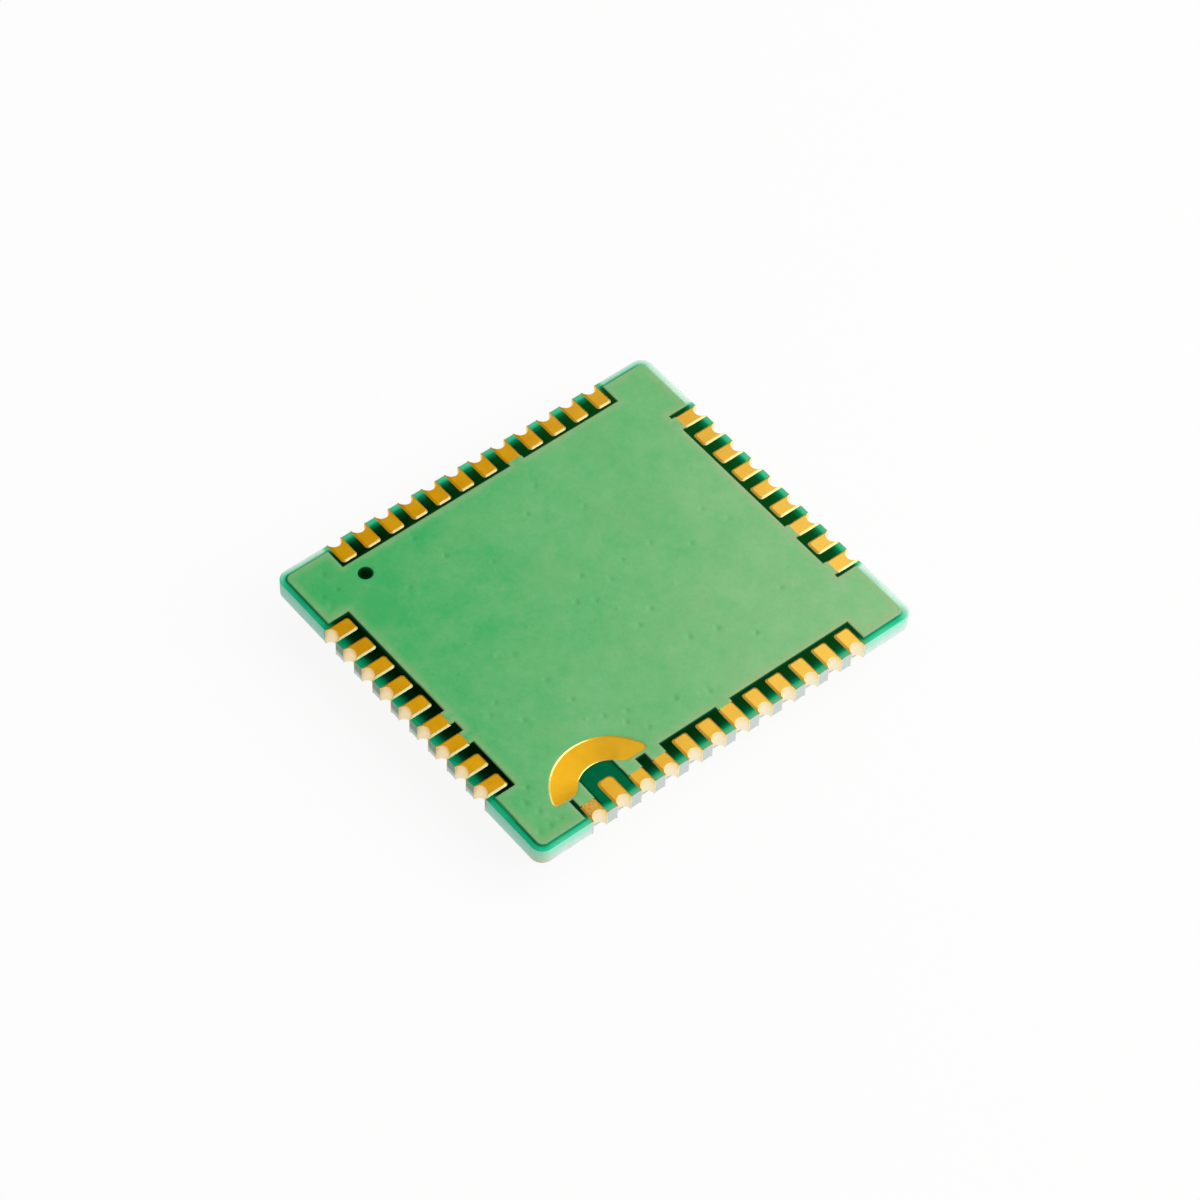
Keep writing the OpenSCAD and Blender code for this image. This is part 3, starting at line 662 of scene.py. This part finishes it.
def foilOutline(grow, tipBack):        # tipBack carries the tongues on under the pads
    inset = foil["inset"] - grow
    radius = foil["cornerRadius"] + grow
    depth = foil["windowDepth"] - grow
    points = []
    for edge in range(4):
        reach = windowReach(edge) - grow
        path = [(-reach, inset), (-reach, depth)]
        for contact in rows[edge]:
            middle = contact["along"]
            if contact["ground"]:
                side = foil["tongueWidth"] / 2 + grow
                tip = contact["length"] - tipBack
                left, right = middle - side, middle + side
                path += [(left, depth), (left, tip), (right, tip), (right, depth)]
            if contact is antenna:
                side = foil["gapWidth"] / 2 - grow
                arcRadius = foil["ringInner"] - grow
                opening = math.asin(side / arcRadius)
                path.append((middle - side, depth))
                for turn in np.linspace(-opening, opening, foil["gapSteps"] + 1):
                    path.append((middle + arcRadius * math.sin(turn),
                                 foil["ringDepth"] + arcRadius * math.cos(turn)))
                path.append((middle + side, depth))
        path += [(reach, depth), (reach, inset)]
        for turn in quarterTurn(foil["cornerSteps"]):
            path.append((edgeHalf[edge] - inset - radius + radius * math.sin(turn),
                         inset + radius - radius * math.cos(turn)))
        points += [onBoard(edge, along, deep) for along, deep in path]
    return points


def circlePoints(centre, radius, count):
    turns = [math.tau * i / count for i in range(count)]
    return [(centre[0] + radius * math.cos(turn), centre[1] + radius * math.sin(turn)) for turn in turns]


def halfRing(grow, drop):              # round one end, from the top of the outer arc to that of the inner
    outer, inner = foil["ringOuter"] + grow, foil["ringInner"] - grow
    rise = foil["ringCut"] - foil["ringDepth"] - drop - grow
    radius = foil["ringEndRadius"] + grow
    arc = np.linspace(0, 1, foil["ringSteps"] + 1)
    bend = quarterTurn(foil["ringEndSteps"])[1:]
    half = [(outer, math.acos((rise + radius) / outer) * share) for share in arc]
    for circle, sign, turns in ((outer, -1, bend), (inner, 1, bend[::-1])):
        for turn in turns:
            reach = circle + sign * radius * (1 - math.cos(turn))
            half.append((reach, math.acos((rise + radius * (1 - math.sin(turn))) / reach)))
    return half + [(inner, math.acos((rise + radius) / inner) * share) for share in arc[::-1]]


def ringOutline(grow):                 # half a ring, cut off level, with its ends rounded
    right = halfRing(grow, 0.0)
    turns = halfRing(grow, foil["ringLeftDrop"]) + [(reach, -turn) for reach, turn in reversed(right[1:-1])]
    return [onBoard(antenna["edge"], antenna["along"] + reach * math.sin(turn),
                    foil["ringDepth"] + reach * math.cos(turn)) for reach, turn in turns]


def openingEnd(contact):               # how far in from the edge the opening over a pad goes
    return contact["length"] + (-film["groundLap"] if contact["ground"] else film["padGap"])


def padOutline(contact):
    side = contact["width"] / 2 + film["padGap"]
    end = openingEnd(contact)
    radius = contact["radius"]
    turns = quarterTurn(film["cornerSteps"])
    path = [(-side, -film["pastEdge"])]
    path += [(-side + radius * (1 - math.cos(t)), end - radius * (1 - math.sin(t))) for t in turns]
    path += [(side - radius * (1 - math.sin(t)), end - radius * (1 - math.cos(t))) for t in turns]
    path += [(side, -film["pastEdge"])]
    return [onBoard(contact["edge"], contact["along"] + along, deep) for along, deep in path]


# Signed fields over arrays of points: positive inside the shape, in millimetres

def boxField(x, y, centre, half, radius=0.0):
    dx = np.abs(x - centre[0]) - (half[0] - radius)
    dy = np.abs(y - centre[1]) - (half[1] - radius)
    outside = np.hypot(np.maximum(dx, 0), np.maximum(dy, 0))
    return radius - outside - np.minimum(np.maximum(dx, dy), 0)


def edgeBox(x, y, edge, along, depthFrom, depthTo, half, radius=0.0):
    centre = onBoard(edge, along, (depthFrom + depthTo) / 2)
    deep = (depthTo - depthFrom) / 2
    size = (half, deep) if edge in longEdges else (deep, half)
    return boxField(x, y, centre, size, radius)


def boardField(x, y, inset=0.0):
    half = (halfLength - inset, halfWidth - inset)
    return boxField(x, y, (0, 0), half, boardShape["cornerRadius"] - inset)


def gapField(x, y):                    # the strip between the two ends of the ring
    return edgeBox(x, y, antenna["edge"], antenna["along"], -far, far, foil["gapWidth"] / 2)


def fromDot(x, y):
    return np.hypot(x - dotCentre[0], y - dotCentre[1])


def ringReach(x, y):
    return np.hypot(x - ringCentre[0], y - ringCentre[1])


def foilField(x, y, tipBack):
    inset = foil["inset"]
    field = boxField(x, y, (0, 0), (halfLength - inset, halfWidth - inset), foil["cornerRadius"])
    for edge in range(4):
        field = np.minimum(field, -edgeBox(x, y, edge, 0.0, -far, foil["windowDepth"], windowReach(edge)))
    for contact in contacts:
        if contact["ground"]:
            tongue = edgeBox(x, y, contact["edge"], contact["along"], contact["length"] - tipBack,
                             foil["windowDepth"] + foil["tongueRoot"], foil["tongueWidth"] / 2)
            field = np.maximum(field, tongue)
    field = np.minimum(field, -np.minimum(gapField(x, y), foil["ringInner"] - ringReach(x, y)))
    return np.minimum(field, fromDot(x, y) - dotRadius)


def aboveCut(x, y, leftDrop):          # above the level cuts of the ring
    rise = edgeBox(x, y, antenna["edge"], antenna["along"], foil["ringCut"], far, far)
    return rise + np.where(x < ringCentre[0], leftDrop, 0.0)


def ringEnds(x, y, band):              # a band of the ring, cut off level with its corners rounded
    rise = aboveCut(x, y, foil["ringLeftDrop"])
    radius = foil["ringEndRadius"]
    rounded = radius - np.hypot(np.maximum(radius - band, 0), np.maximum(radius - rise, 0))
    return np.where((band < radius) & (rise < radius), rounded, np.minimum(band, rise))


def ringEdge(x, y):                    # in from the outer arc and the level cuts of the ring
    return ringEnds(x, y, foil["ringOuter"] - ringReach(x, y))


def openingField(x, y):                # openings of the film
    reach = ringReach(x, y)
    field = ringEnds(x, y, np.minimum(foil["ringOuter"] - reach, reach - foil["ringInner"]))
    for contact in contacts:
        field = np.maximum(field, edgeBox(x, y, contact["edge"], contact["along"], -far, openingEnd(contact),
                                          contact["width"] / 2 + film["padGap"], contact["radius"]))
    return field


def smoothStep(low, high, value):
    t = np.clip((value - low) / (high - low), 0, 1)
    return t * t * (3 - 2 * t)


def triangulate(loops, loose, inside):     # loops, loose points, and the test that keeps a triangle
    points, edges = [], []
    for loop in loops:
        first = len(points)
        points += loop
        edges += [(first + i, first + (i + 1) % len(loop)) for i in range(len(loop))]
    flat = delaunay_2d_cdt([Vector(p) for p in points + loose], edges, [], 0, samePoint)
    corners = np.array([(v.x, v.y) for v in flat[0]])
    triangles = np.array(flat[2])
    middle = corners[triangles].mean(axis=1)
    triangles = triangles[inside(middle[:, 0], middle[:, 1])]
    one = corners[triangles[:, 1]] - corners[triangles[:, 0]]
    two = corners[triangles[:, 2]] - corners[triangles[:, 0]]
    turned = one[:, 0] * two[:, 1] - one[:, 1] * two[:, 0] < 0
    triangles[turned] = triangles[turned][:, ::-1]
    used, triangles = np.unique(triangles, return_inverse=True)
    return corners[used], triangles.reshape(-1, 3)


def closedSheet(name, corners, triangles, top, bottom):
    count = len(corners)
    sides = {(int(t[i]), int(t[(i + 1) % 3])) for t in triangles for i in range(3)}
    rim = [(a, b) for a, b in sides if (b, a) not in sides]
    faces = triangles.tolist() + (triangles[:, ::-1] + count).tolist()
    faces += [(b, a, a + count, b + count) for a, b in rim]
    verts = np.concatenate([np.column_stack([corners, top]), np.column_stack([corners, bottom])]) * mm
    mesh = bpy.data.meshes.new(name)
    mesh.from_pydata(verts.tolist(), [], faces)
    return mesh


# Ground pour: foil with sloping edges, a little lower where the ring is bare, and dented over the vias

pourShape = {
    "skin": 0.002,              # just under the faces of the pads it joins
    "tongueLap": 0.06,          # its tongues go on under the pads
    "leastClimb": 0.02,         # share of the thickness at the very edge
    "loopStep": 0.3,
    "dotSlopeIn": (0.0, 0.3, 1.0),
    "ringSink": 0.028,          # the bare ring lies this much lower than the covered foil
    "ringSlope": 0.06,
    "ringSlopeIn": (0.0, 0.15, 0.3, 0.45, 0.6, 0.8, 1.0),
    "ringStep": 0.04,
    "ringInnerGap": 0.1,        # the slope's loops stay off the inner arc
    "light": (0.69, -0.72),     # the slope is deepest where it faces this way, and shallow near the cuts
    "shallow": 0.2,
    "lightRange": (-0.8, 0.6),
    "cutRange": (0.0, 0.9),
    "brightFrom": 0.5,          # and given the pale rim gold, a painted highlight, where it faces that way more than this
    "dentRings": (0.6, 1.2, 2.0),
    "sharpDeg": 50,
}
# Plugged vias that dimple the film: measured places in millimetres
viaSpots = [
    (-5.94, -1.64), (-6.44, -1.99), (-5.61, -2.89), (-3.66, -3.24), (-3.21, -4.51), (-2.41, -4.84),
    (-2.74, -5.21), (-2.24, -5.86), (-0.69, -5.46), (0.51, -5.96), (-4.06, -0.34), (-0.14, -0.26),
    (0.91, 0.16), (-0.76, 0.11), (3.16, 0.61), (4.34, -0.34), (6.21, -0.29), (-1.99, 3.49), (2.31, 3.46),
    (-5.19, 4.39), (-3.66, 6.14), (-7.83, -5.78), (-7.65, -6.34), (-7.70, -7.03), (-7.24, -7.03),
    (-8.18, -7.05), (-7.36, -5.28), (-7.95, 5.98), (-7.33, 5.95), (-7.33, 6.83), (-7.95, 5.45),
    (1.20, -1.78), (0.39, -2.10), (2.58, -3.96), (5.64, -3.96), (3.57, -5.00), (1.50, -3.65),
    (-3.86, -2.00), (0.14, 0.98), (1.83, 0.63), (5.70, 0.66), (0.39, 4.48), (1.45, 5.35), (-3.24, 4.79),
]
# Small raised spots, where the film covers grains
grainSpots = [(-6.14, 0.14), (-5.11, 1.04), (-4.69, 0.04), (-2.89, 0.31), (0.26, -1.06), (2.64, -1.41),
              (-3.81, -4.21)]
spotSize = {                    # radius and height in millimetres, from and to
    "dent": ((0.095, 0.13), (0.024, 0.042)),
    "grain": ((0.06, 0.085), (0.014, 0.022)),
    "points": 12,
}
rng = random.Random(film["seed"])
dents, grains = [
    [(x, y, *[rng.uniform(low, high) for low, high in spotSize[kind]]) for x, y in spots]
    for kind, spots in (("dent", viaSpots), ("grain", grainSpots))
]


def spotPoints(shares):                # points in circles round the dents and grains
    out = []
    for x, y, radius, height in dents + grains:
        out.append((x, y))
        for share in shares:
            out += circlePoints((x, y), radius * share, spotSize["points"])
    return out


def spotHeight(x, y, spots):
    height = np.zeros_like(x)
    for sx, sy, radius, high in spots:
        height += high * np.exp(-((x - sx) ** 2 + (y - sy) ** 2) / radius ** 2)
    return height


def etchedSlope(inFoil):               # share of the foil's thickness, by the distance in from its edge
    return np.interp(inFoil / foil["flank"], foil["slopeIn"], foil["slopeUp"])


def towardsLight(x, y):                # how far the outer slope of the ring faces the light
    dx, dy = pourShape["light"]
    return ((ringCentre[0] - x) * dx + (ringCentre[1] - y) * dy) / ringReach(x, y)


def makePour():
    flank, slope, lap = foil["flank"], pourShape["ringSlope"], pourShape["tongueLap"]
    loops = [spread(foilOutline(-share * flank, lap), pourShape["loopStep"]) for share in foil["slopeIn"]]
    loops += [circlePoints(dotCentre, dotRadius + share * flank, foil["dotSteps"])
              for share in pourShape["dotSlopeIn"]]
    nearest = foil["ringInner"] + pourShape["ringInnerGap"]
    for share in pourShape["ringSlopeIn"]:
        level = spread(ringOutline(-share * slope), pourShape["ringStep"])
        loops.append([p for p in level if ringReach(*p) > nearest])
    corners, triangles = triangulate(loops, spotPoints(pourShape["dentRings"]),
                                     lambda x, y: foilField(x, y, lap) > 0)
    x, y = corners.T
    lit = smoothStep(*pourShape["lightRange"], towardsLight(x, y))
    lit = lit * smoothStep(*pourShape["cutRange"], aboveCut(x, y, foil["ringLeftDrop"]))
    deeper = pourShape["shallow"] + (1 - pourShape["shallow"]) * lit
    sink = pourShape["ringSink"] * deeper * smoothStep(0.0, slope, ringEdge(x, y))
    climb = np.maximum(etchedSlope(foilField(x, y, lap)), pourShape["leastClimb"])
    top = boardHigh.z + (copperThick - pourShape["skin"] - sink - spotHeight(x, y, dents)) * climb
    mesh = closedSheet("groundPour", corners, triangles, top, np.full_like(top, boardHigh.z))

    x, y = corners[triangles].mean(axis=1).T
    fromFilm = ringEdge(x, y)
    # Painted highlight: the ring's slope that faces the light takes the pale rim gold, as do the etched
    # edges of the foil
    bright = (fromFilm > 0) & (fromFilm < slope) & (towardsLight(x, y) > pourShape["brightFrom"])
    index = np.zeros(len(mesh.polygons), np.int32)
    index[:len(triangles)] = bright | (foilField(x, y, lap) < flank)
    mesh.polygons.foreach_set("material_index", index)
    piece = newPiece("groundPour", mesh, [ringGold, rimGold], pourShape["sharpDeg"])
    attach(piece, "root")
    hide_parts("ground_pour")
    print("pour:", len(triangles) * 2, "triangles")


makePour()


# Solder mask of the contact side: one film draped over the pour and the laminate

filmLight = {
    # for the back, right, front and left edge: painted light along the plain edge, how far it reaches in,
    # from and to, painted light on the tabs and a grey tone on them
    "edges": (
        (2.2, -0.05, 0.5, 0.95, 0.3),
        (2.3, -0.04, 0.68, 0.92, 0.3),
        (1.05, 0.1, 0.58, 0.88, 0.5),
        (0.9, 0.1, 0.58, 0.71, 0.0),
    ),
    "cornerBlend": 0.8,         # the light of two edges blends over this depth at a corner
    "rowEnd": (-0.12, 0.04),    # and from a plain edge to the tabs over this length
    "tabReach": (0.12, 0.52),
    "tabTail": 0.07,            # share of the light on a tab that goes on further in
    "tailReach": (0.2, 1.1),
    "greyReach": (0.0, 0.27),
    "gap": 0.36,                # light in the gap of the ring
    "gapEdge": 0.05,
    "gapReach": (0.0, 0.1),
    "thinReach": (0.0, 0.4),    # the film is thin this far in from the edge of the foil
    "dotReach": (0.3, 0.8),     # but not round the first-contact opening
    "copperReach": (-0.025, 0.015),
    "footPlace": 0.05,          # painted shade at the foot of the foil, less where the edge lights it
    "footWidth": 0.035,
    "footLight": (0.85, 1.3),
    "dentShade": 4.5,            # painted shade in a dent: how much darker, per millimetre of its depth
    "bareFrom": 0.5,            # less copper below than this, and the film is that of the laminate
    # the inner flank of the ring is bare: reach out into the gap, in on the foil, and above the cuts
    "bareGap": (0.08, 0.14),
    "bareFoil": (0.002, 0.02),
    "bareRise": (0.3, 0.5),
}


def fade(reach, distance):             # one up to the start of a reach, nothing past its end
    return 1 - smoothStep(*reach, distance)


def edgeGlow(x, y, fromEdge):          # painted light that the cut edges send into the film, and a grey tone on the tabs by its rim
    depth = filmLight["cornerBlend"]
    dx = x - np.clip(x, depth - halfLength, halfLength - depth)
    dy = y - np.clip(y, depth - halfWidth, halfWidth - depth)
    away = np.maximum(np.hypot(dx, dy), samePoint)
    shares = [np.maximum(side, 0) / away for side in (dy, dx, -dy, -dx)]
    tail = filmLight["tabTail"] * fade(filmLight["tailReach"], fromEdge)
    onTab = fade(filmLight["tabReach"], fromEdge) + tail
    onRim = fade(filmLight["greyReach"], fromEdge)
    glow, greying = np.zeros_like(x), np.zeros_like(x)
    for edge, (plain, start, end, tab, greyed) in enumerate(filmLight["edges"]):
        inRow = edgeBox(x, y, edge, 0.0, -far, far, windowReach(edge))
        between = smoothStep(*filmLight["rowEnd"], inRow)
        onPlain = fade((start, end), fromEdge)
        glow += shares[edge] ** 2 * (plain * onPlain * (1 - between) + tab * onTab * between)
        greying += shares[edge] ** 2 * greyed * onRim * between
    return glow, greying


def filmMesh():                        # corners and triangles of the film, in plan
    step = film["loopStep"]
    loops = [spread(boardOutline(film["inset"] + grow, False), step) for grow in film["rimOffsets"]]
    loops += [spread(padOutline(contact), step) for contact in contacts]
    loops += [spread(ringOutline(grow), film["ringStep"]) for grow in film["lipOffsets"]]
    least = step * film["leastDot"]
    for grow in film["foilOffsets"]:
        loops.append(spread(foilOutline(grow, film["tongueLap"]), step if grow > -step else 2 * step))
        loops.append(circlePoints(dotCentre, max(dotRadius - grow, least), foil["dotSteps"]))
    loose = spotPoints(film["dentRings"])
    step, shake = film["gridStep"], film["gridShake"]
    for i in range(int(2 * halfLength / step)):
        for j in range(int(2 * halfWidth / step)):
            loose.append((-halfLength + (i + 0.5 + shake * (rng.random() - 0.5)) * step,
                          -halfWidth + (j + 0.5 + shake * (rng.random() - 0.5)) * step))
    return triangulate(
        loops, loose, lambda x, y: (boardField(x, y, film["inset"]) > 0) & (openingField(x, y) < 0))


def makeFilm():
    corners, triangles = filmMesh()
    x, y = corners.T
    inFoil = foilField(x, y, film["tongueField"])
    fromEdge = boardField(x, y)
    toOpening = np.minimum(-openingField(x, y), fromEdge - film["inset"])
    inGap = foil["ringInner"] - ringReach(x, y)
    bareFlank = fade(filmLight["bareGap"], inGap) * fade(filmLight["bareFoil"], inFoil)
    covered = 1 - bareFlank * smoothStep(*filmLight["bareRise"], aboveCut(x, y, 0.0))
    dent = spotHeight(x, y, dents)
    drape = smoothStep(-film["drapeOut"], film["drapeIn"], inFoil) * covered
    z = boardHigh.z + filmThick - film["grainRoom"] + copperThick * drape
    z -= film["lipDrop"] * fade((0.0, film["lip"]), toOpening)
    z += spotHeight(x, y, grains) - dent
    z = np.minimum(z, cadHigh.z / mm)
    ground = boardHigh.z + (copperThick - dent) * etchedSlope(inFoil)
    below = np.minimum(ground, z - film["leastThick"] * filmThick)
    mesh = closedSheet("solderMaskFilm", corners, triangles, z, below)

    glow, greying = edgeGlow(x, y, fromEdge)
    gapWide = np.minimum(gapField(x, y), inGap + filmLight["gapEdge"])
    glow = np.maximum(glow, filmLight["gap"] * smoothStep(*filmLight["gapReach"], gapWide))
    # Painted shade where the film goes down to the foot of the foil, less where the edge is lit
    foot = np.exp(-((inFoil + filmLight["footPlace"]) / filmLight["footWidth"]) ** 2) * covered
    foot = foot * fade(filmLight["footLight"], glow)
    shades = {
        "copperUnder": smoothStep(*filmLight["copperReach"], inFoil) * covered,
        "filmThin": fade(filmLight["thinReach"], inFoil) * smoothStep(*filmLight["dotReach"], fromDot(x, y)),
        "edgeGlow": glow,
        "tabDust": greying,
        "filmPool": np.clip(filmLight["dentShade"] * dent + foot, 0, 1),
    }
    for name, values in shades.items():
        layer = mesh.attributes.new(name, "FLOAT", "POINT")
        layer.data.foreach_set("value", np.tile(values, 2).astype(np.float32))
    bare = shades["copperUnder"][triangles].mean(axis=1) < filmLight["bareFrom"]
    index = np.ones(len(mesh.polygons), np.int32)
    index[:2 * len(bare)] = np.tile(bare, 2)
    mesh.polygons.foreach_set("material_index", index)
    piece = newPiece("solderMaskFilm", mesh, [maskOnCopper, maskOnLaminate], film["sharpDeg"])
    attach(piece, "root")
    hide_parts("pad_side_mask")
    print("film:", len(triangles) * 2, "triangles")


makeFilm()


# Carried-over nodes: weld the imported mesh, break its sharp edges and shade its bends smooth

carriedEdges = {
    "weldMm": 0.0005,
    "bevelSegments": 2,
    "bevelFromDeg": 50,
    "sharpFromDeg": 35,
}


def makeSmoothGroup():
    group = bpy.data.node_groups.new("smoothByAngle", "GeometryNodeTree")
    group.interface.new_socket("Mesh", in_out="INPUT", socket_type="NodeSocketGeometry")
    group.interface.new_socket("Mesh", in_out="OUTPUT", socket_type="NodeSocketGeometry")
    add = partial(addNode, group, "")
    start = add("NodeGroupInput")
    angle = add("GeometryNodeInputMeshEdgeAngle")
    sharpFrom = math.radians(carriedEdges["sharpFromDeg"])
    isSharp = add("FunctionNodeCompare", {"operation": "GREATER_THAN", 1: sharpFrom}, {0: angle})
    smooth = add("GeometryNodeSetShadeSmooth", {"domain": "FACE", "Shade Smooth": True}, {0: start})
    creased = add("GeometryNodeSetShadeSmooth", {"domain": "EDGE", "Shade Smooth": False},
                  {0: smooth, "Selection": isSharp})
    add("NodeGroupOutput", links={0: creased})
    return group


smoothGroup = makeSmoothGroup()
carried = {
    # node: finish, width of the broken edges in millimetres
    "component_side_copper": (gold, 0.0),
    "component_side_mask": (finishes["maskPlain"], 0.0),
    "shield_can": (tinnedSheet, 0.0),
    "can_solder": (finishes["solder"], 0.03),
    "baseband_processor": (finishes["mouldCompound"], 0.03),
    "processor_balls": (finishes["solder"], 0.04),
    "radio_front_end": (finishes["mouldCompound"], 0.03),
    "receive_filter": (finishes["filterCeramic"], 0.03),
    "crystal_base": (finishes["darkCeramic"], 0.03),
    "crystal_lid": (finishes["lidMetal"], 0.03),
    "capacitor_bodies": (finishes["capacitorCeramic"], 0.0),
    "capacitor_terminals": (finishes["tin"], 0.0),
    "resistor_bodies": (finishes["glaze"], 0.0),
    "resistor_terminals": (finishes["tin"], 0.0),
}
for name, (material, edgeWidth) in carried.items():
    piece = nodes[name]
    piece.data.materials.clear()
    piece.data.materials.append(material)
    weld = piece.modifiers.new("weld", "WELD")
    weld.merge_threshold = carriedEdges["weldMm"] * mm
    if edgeWidth:
        bevel = piece.modifiers.new("brokenEdges", "BEVEL")
        bevel.width = edgeWidth * mm
        bevel.segments = carriedEdges["bevelSegments"]
        bevel.limit_method = "ANGLE"
        bevel.angle_limit = math.radians(carriedEdges["bevelFromDeg"])
    smooth = piece.modifiers.new("smoothBends", "NODES")
    smooth.node_group = smoothGroup
print("carried over:", len(carried))


# Floor, light and camera

stageSetup = {
    "floorSide": 3.0,           # metres
    "floorHex": "#f2f2f0",
    "floorWhite": 0.9,          # share of the floor that is seen as plain white
    "worldStrength": 0.5,
    # softboxes: towards, distance, width, height in metres, and how bright their faces are
    "softboxes": {
        "softboxSide": ((0.56, -0.58, 0.55), 0.17, 0.16, 0.21, 2.25),
        "softboxBack": ((0.75, 0.15, 0.79), 0.18, 0.15, 0.15, 0.8),
    },
}


def makeFloor():
    mesh = bpy.data.meshes.new("studioFloor")
    half = stageSetup["floorSide"] / 2
    corners = [(-half, -half, 0), (half, -half, 0), (half, half, 0), (-half, half, 0)]
    mesh.from_pydata(corners, [], [(0, 1, 2, 3)])
    floor = newObject("studioFloor", mesh)
    floor.location.z = cadLow.z
    material, add = newMaterial("paleFloor")
    path = add("LightPath").node.outputs
    seen = path["Is Camera Ray"]
    for ray in ("Is Glossy Ray", "Is Transmission Ray"):
        seen = add("Math", {"operation": "MAXIMUM"}, {0: seen, 1: path[ray]})
    share = add("Math", {"operation": "MULTIPLY", 1: stageSetup["floorWhite"]}, {0: seen})
    matt = add("BsdfDiffuse", {"Color": stageSetup["floorHex"]})
    white = add("Emission", {"Color": (1, 1, 1, 1), "Strength": 1.0})
    mix = add("MixShader", links={0: share, 1: matt, 2: white})
    add("OutputMaterial", links={"Surface": mix})
    mesh.materials.append(material)


def makeLight():
    world = bpy.data.worlds.new("studio")
    world.use_nodes = True
    background = world.node_tree.nodes["Background"]
    background.inputs["Color"].default_value = (1, 1, 1, 1)
    background.inputs["Strength"].default_value = stageSetup["worldStrength"]
    bpy.context.scene.world = world
    for name, (towards, distance, width, height, bright) in stageSetup["softboxes"].items():
        lamp = bpy.data.lights.new(name, "AREA")
        lamp.shape = "RECTANGLE"
        lamp.size = width
        lamp.size_y = height
        lamp.energy = bright * math.pi * width * height
        box = newObject(name, lamp)
        box.location = Vector((0, 0, cadHigh.z)) + Vector(towards).normalized() * distance
        box.rotation_euler = Vector(towards).to_track_quat("Z", "Y").to_euler()


cameraSetup = {
    "azimuthDeg": -41.259,      # viewed from the front left corner
    "elevationDeg": 52.454,
    "rollDeg": 2.799,
    "distanceMm": 160.281,      # to the plane of the pads
    "acrossMm": -0.212,
    "upMm": 0.210,
    "focalMm": 130.825,
    "sensorMm": 36.0,
    "clipFrom": 0.01,           # metres
    "clipTo": 20.0,
}


def makeCamera():
    a, e, roll = [math.radians(cameraSetup[key]) for key in ("azimuthDeg", "elevationDeg", "rollDeg")]
    back = Vector((math.sin(a) * math.cos(e), -math.cos(a) * math.cos(e), math.sin(e)))
    level = Vector((0, 0, 1)).cross(back).normalized()
    upright = back.cross(level)
    right = math.cos(roll) * level + math.sin(roll) * upright
    up = -math.sin(roll) * level + math.cos(roll) * upright
    place = (back * cameraSetup["distanceMm"] - right * cameraSetup["acrossMm"] - up * cameraSetup["upMm"]
             + Vector((0, 0, padPlane))) * mm
    data = bpy.data.cameras.new("photoCamera")
    data.sensor_width = cameraSetup["sensorMm"]
    data.lens = cameraSetup["focalMm"]
    data.clip_start = cameraSetup["clipFrom"]
    data.clip_end = cameraSetup["clipTo"]
    camera = newObject("photoCamera", data)
    turned = Matrix((right, up, back)).transposed().to_4x4()
    camera.matrix_world = Matrix.Translation(place) @ turned
    bpy.context.scene.camera = camera


makeFloor()
makeLight()
makeCamera()
bpy.context.scene.view_settings.view_transform = "Standard"
print("stage: floor, light and camera")
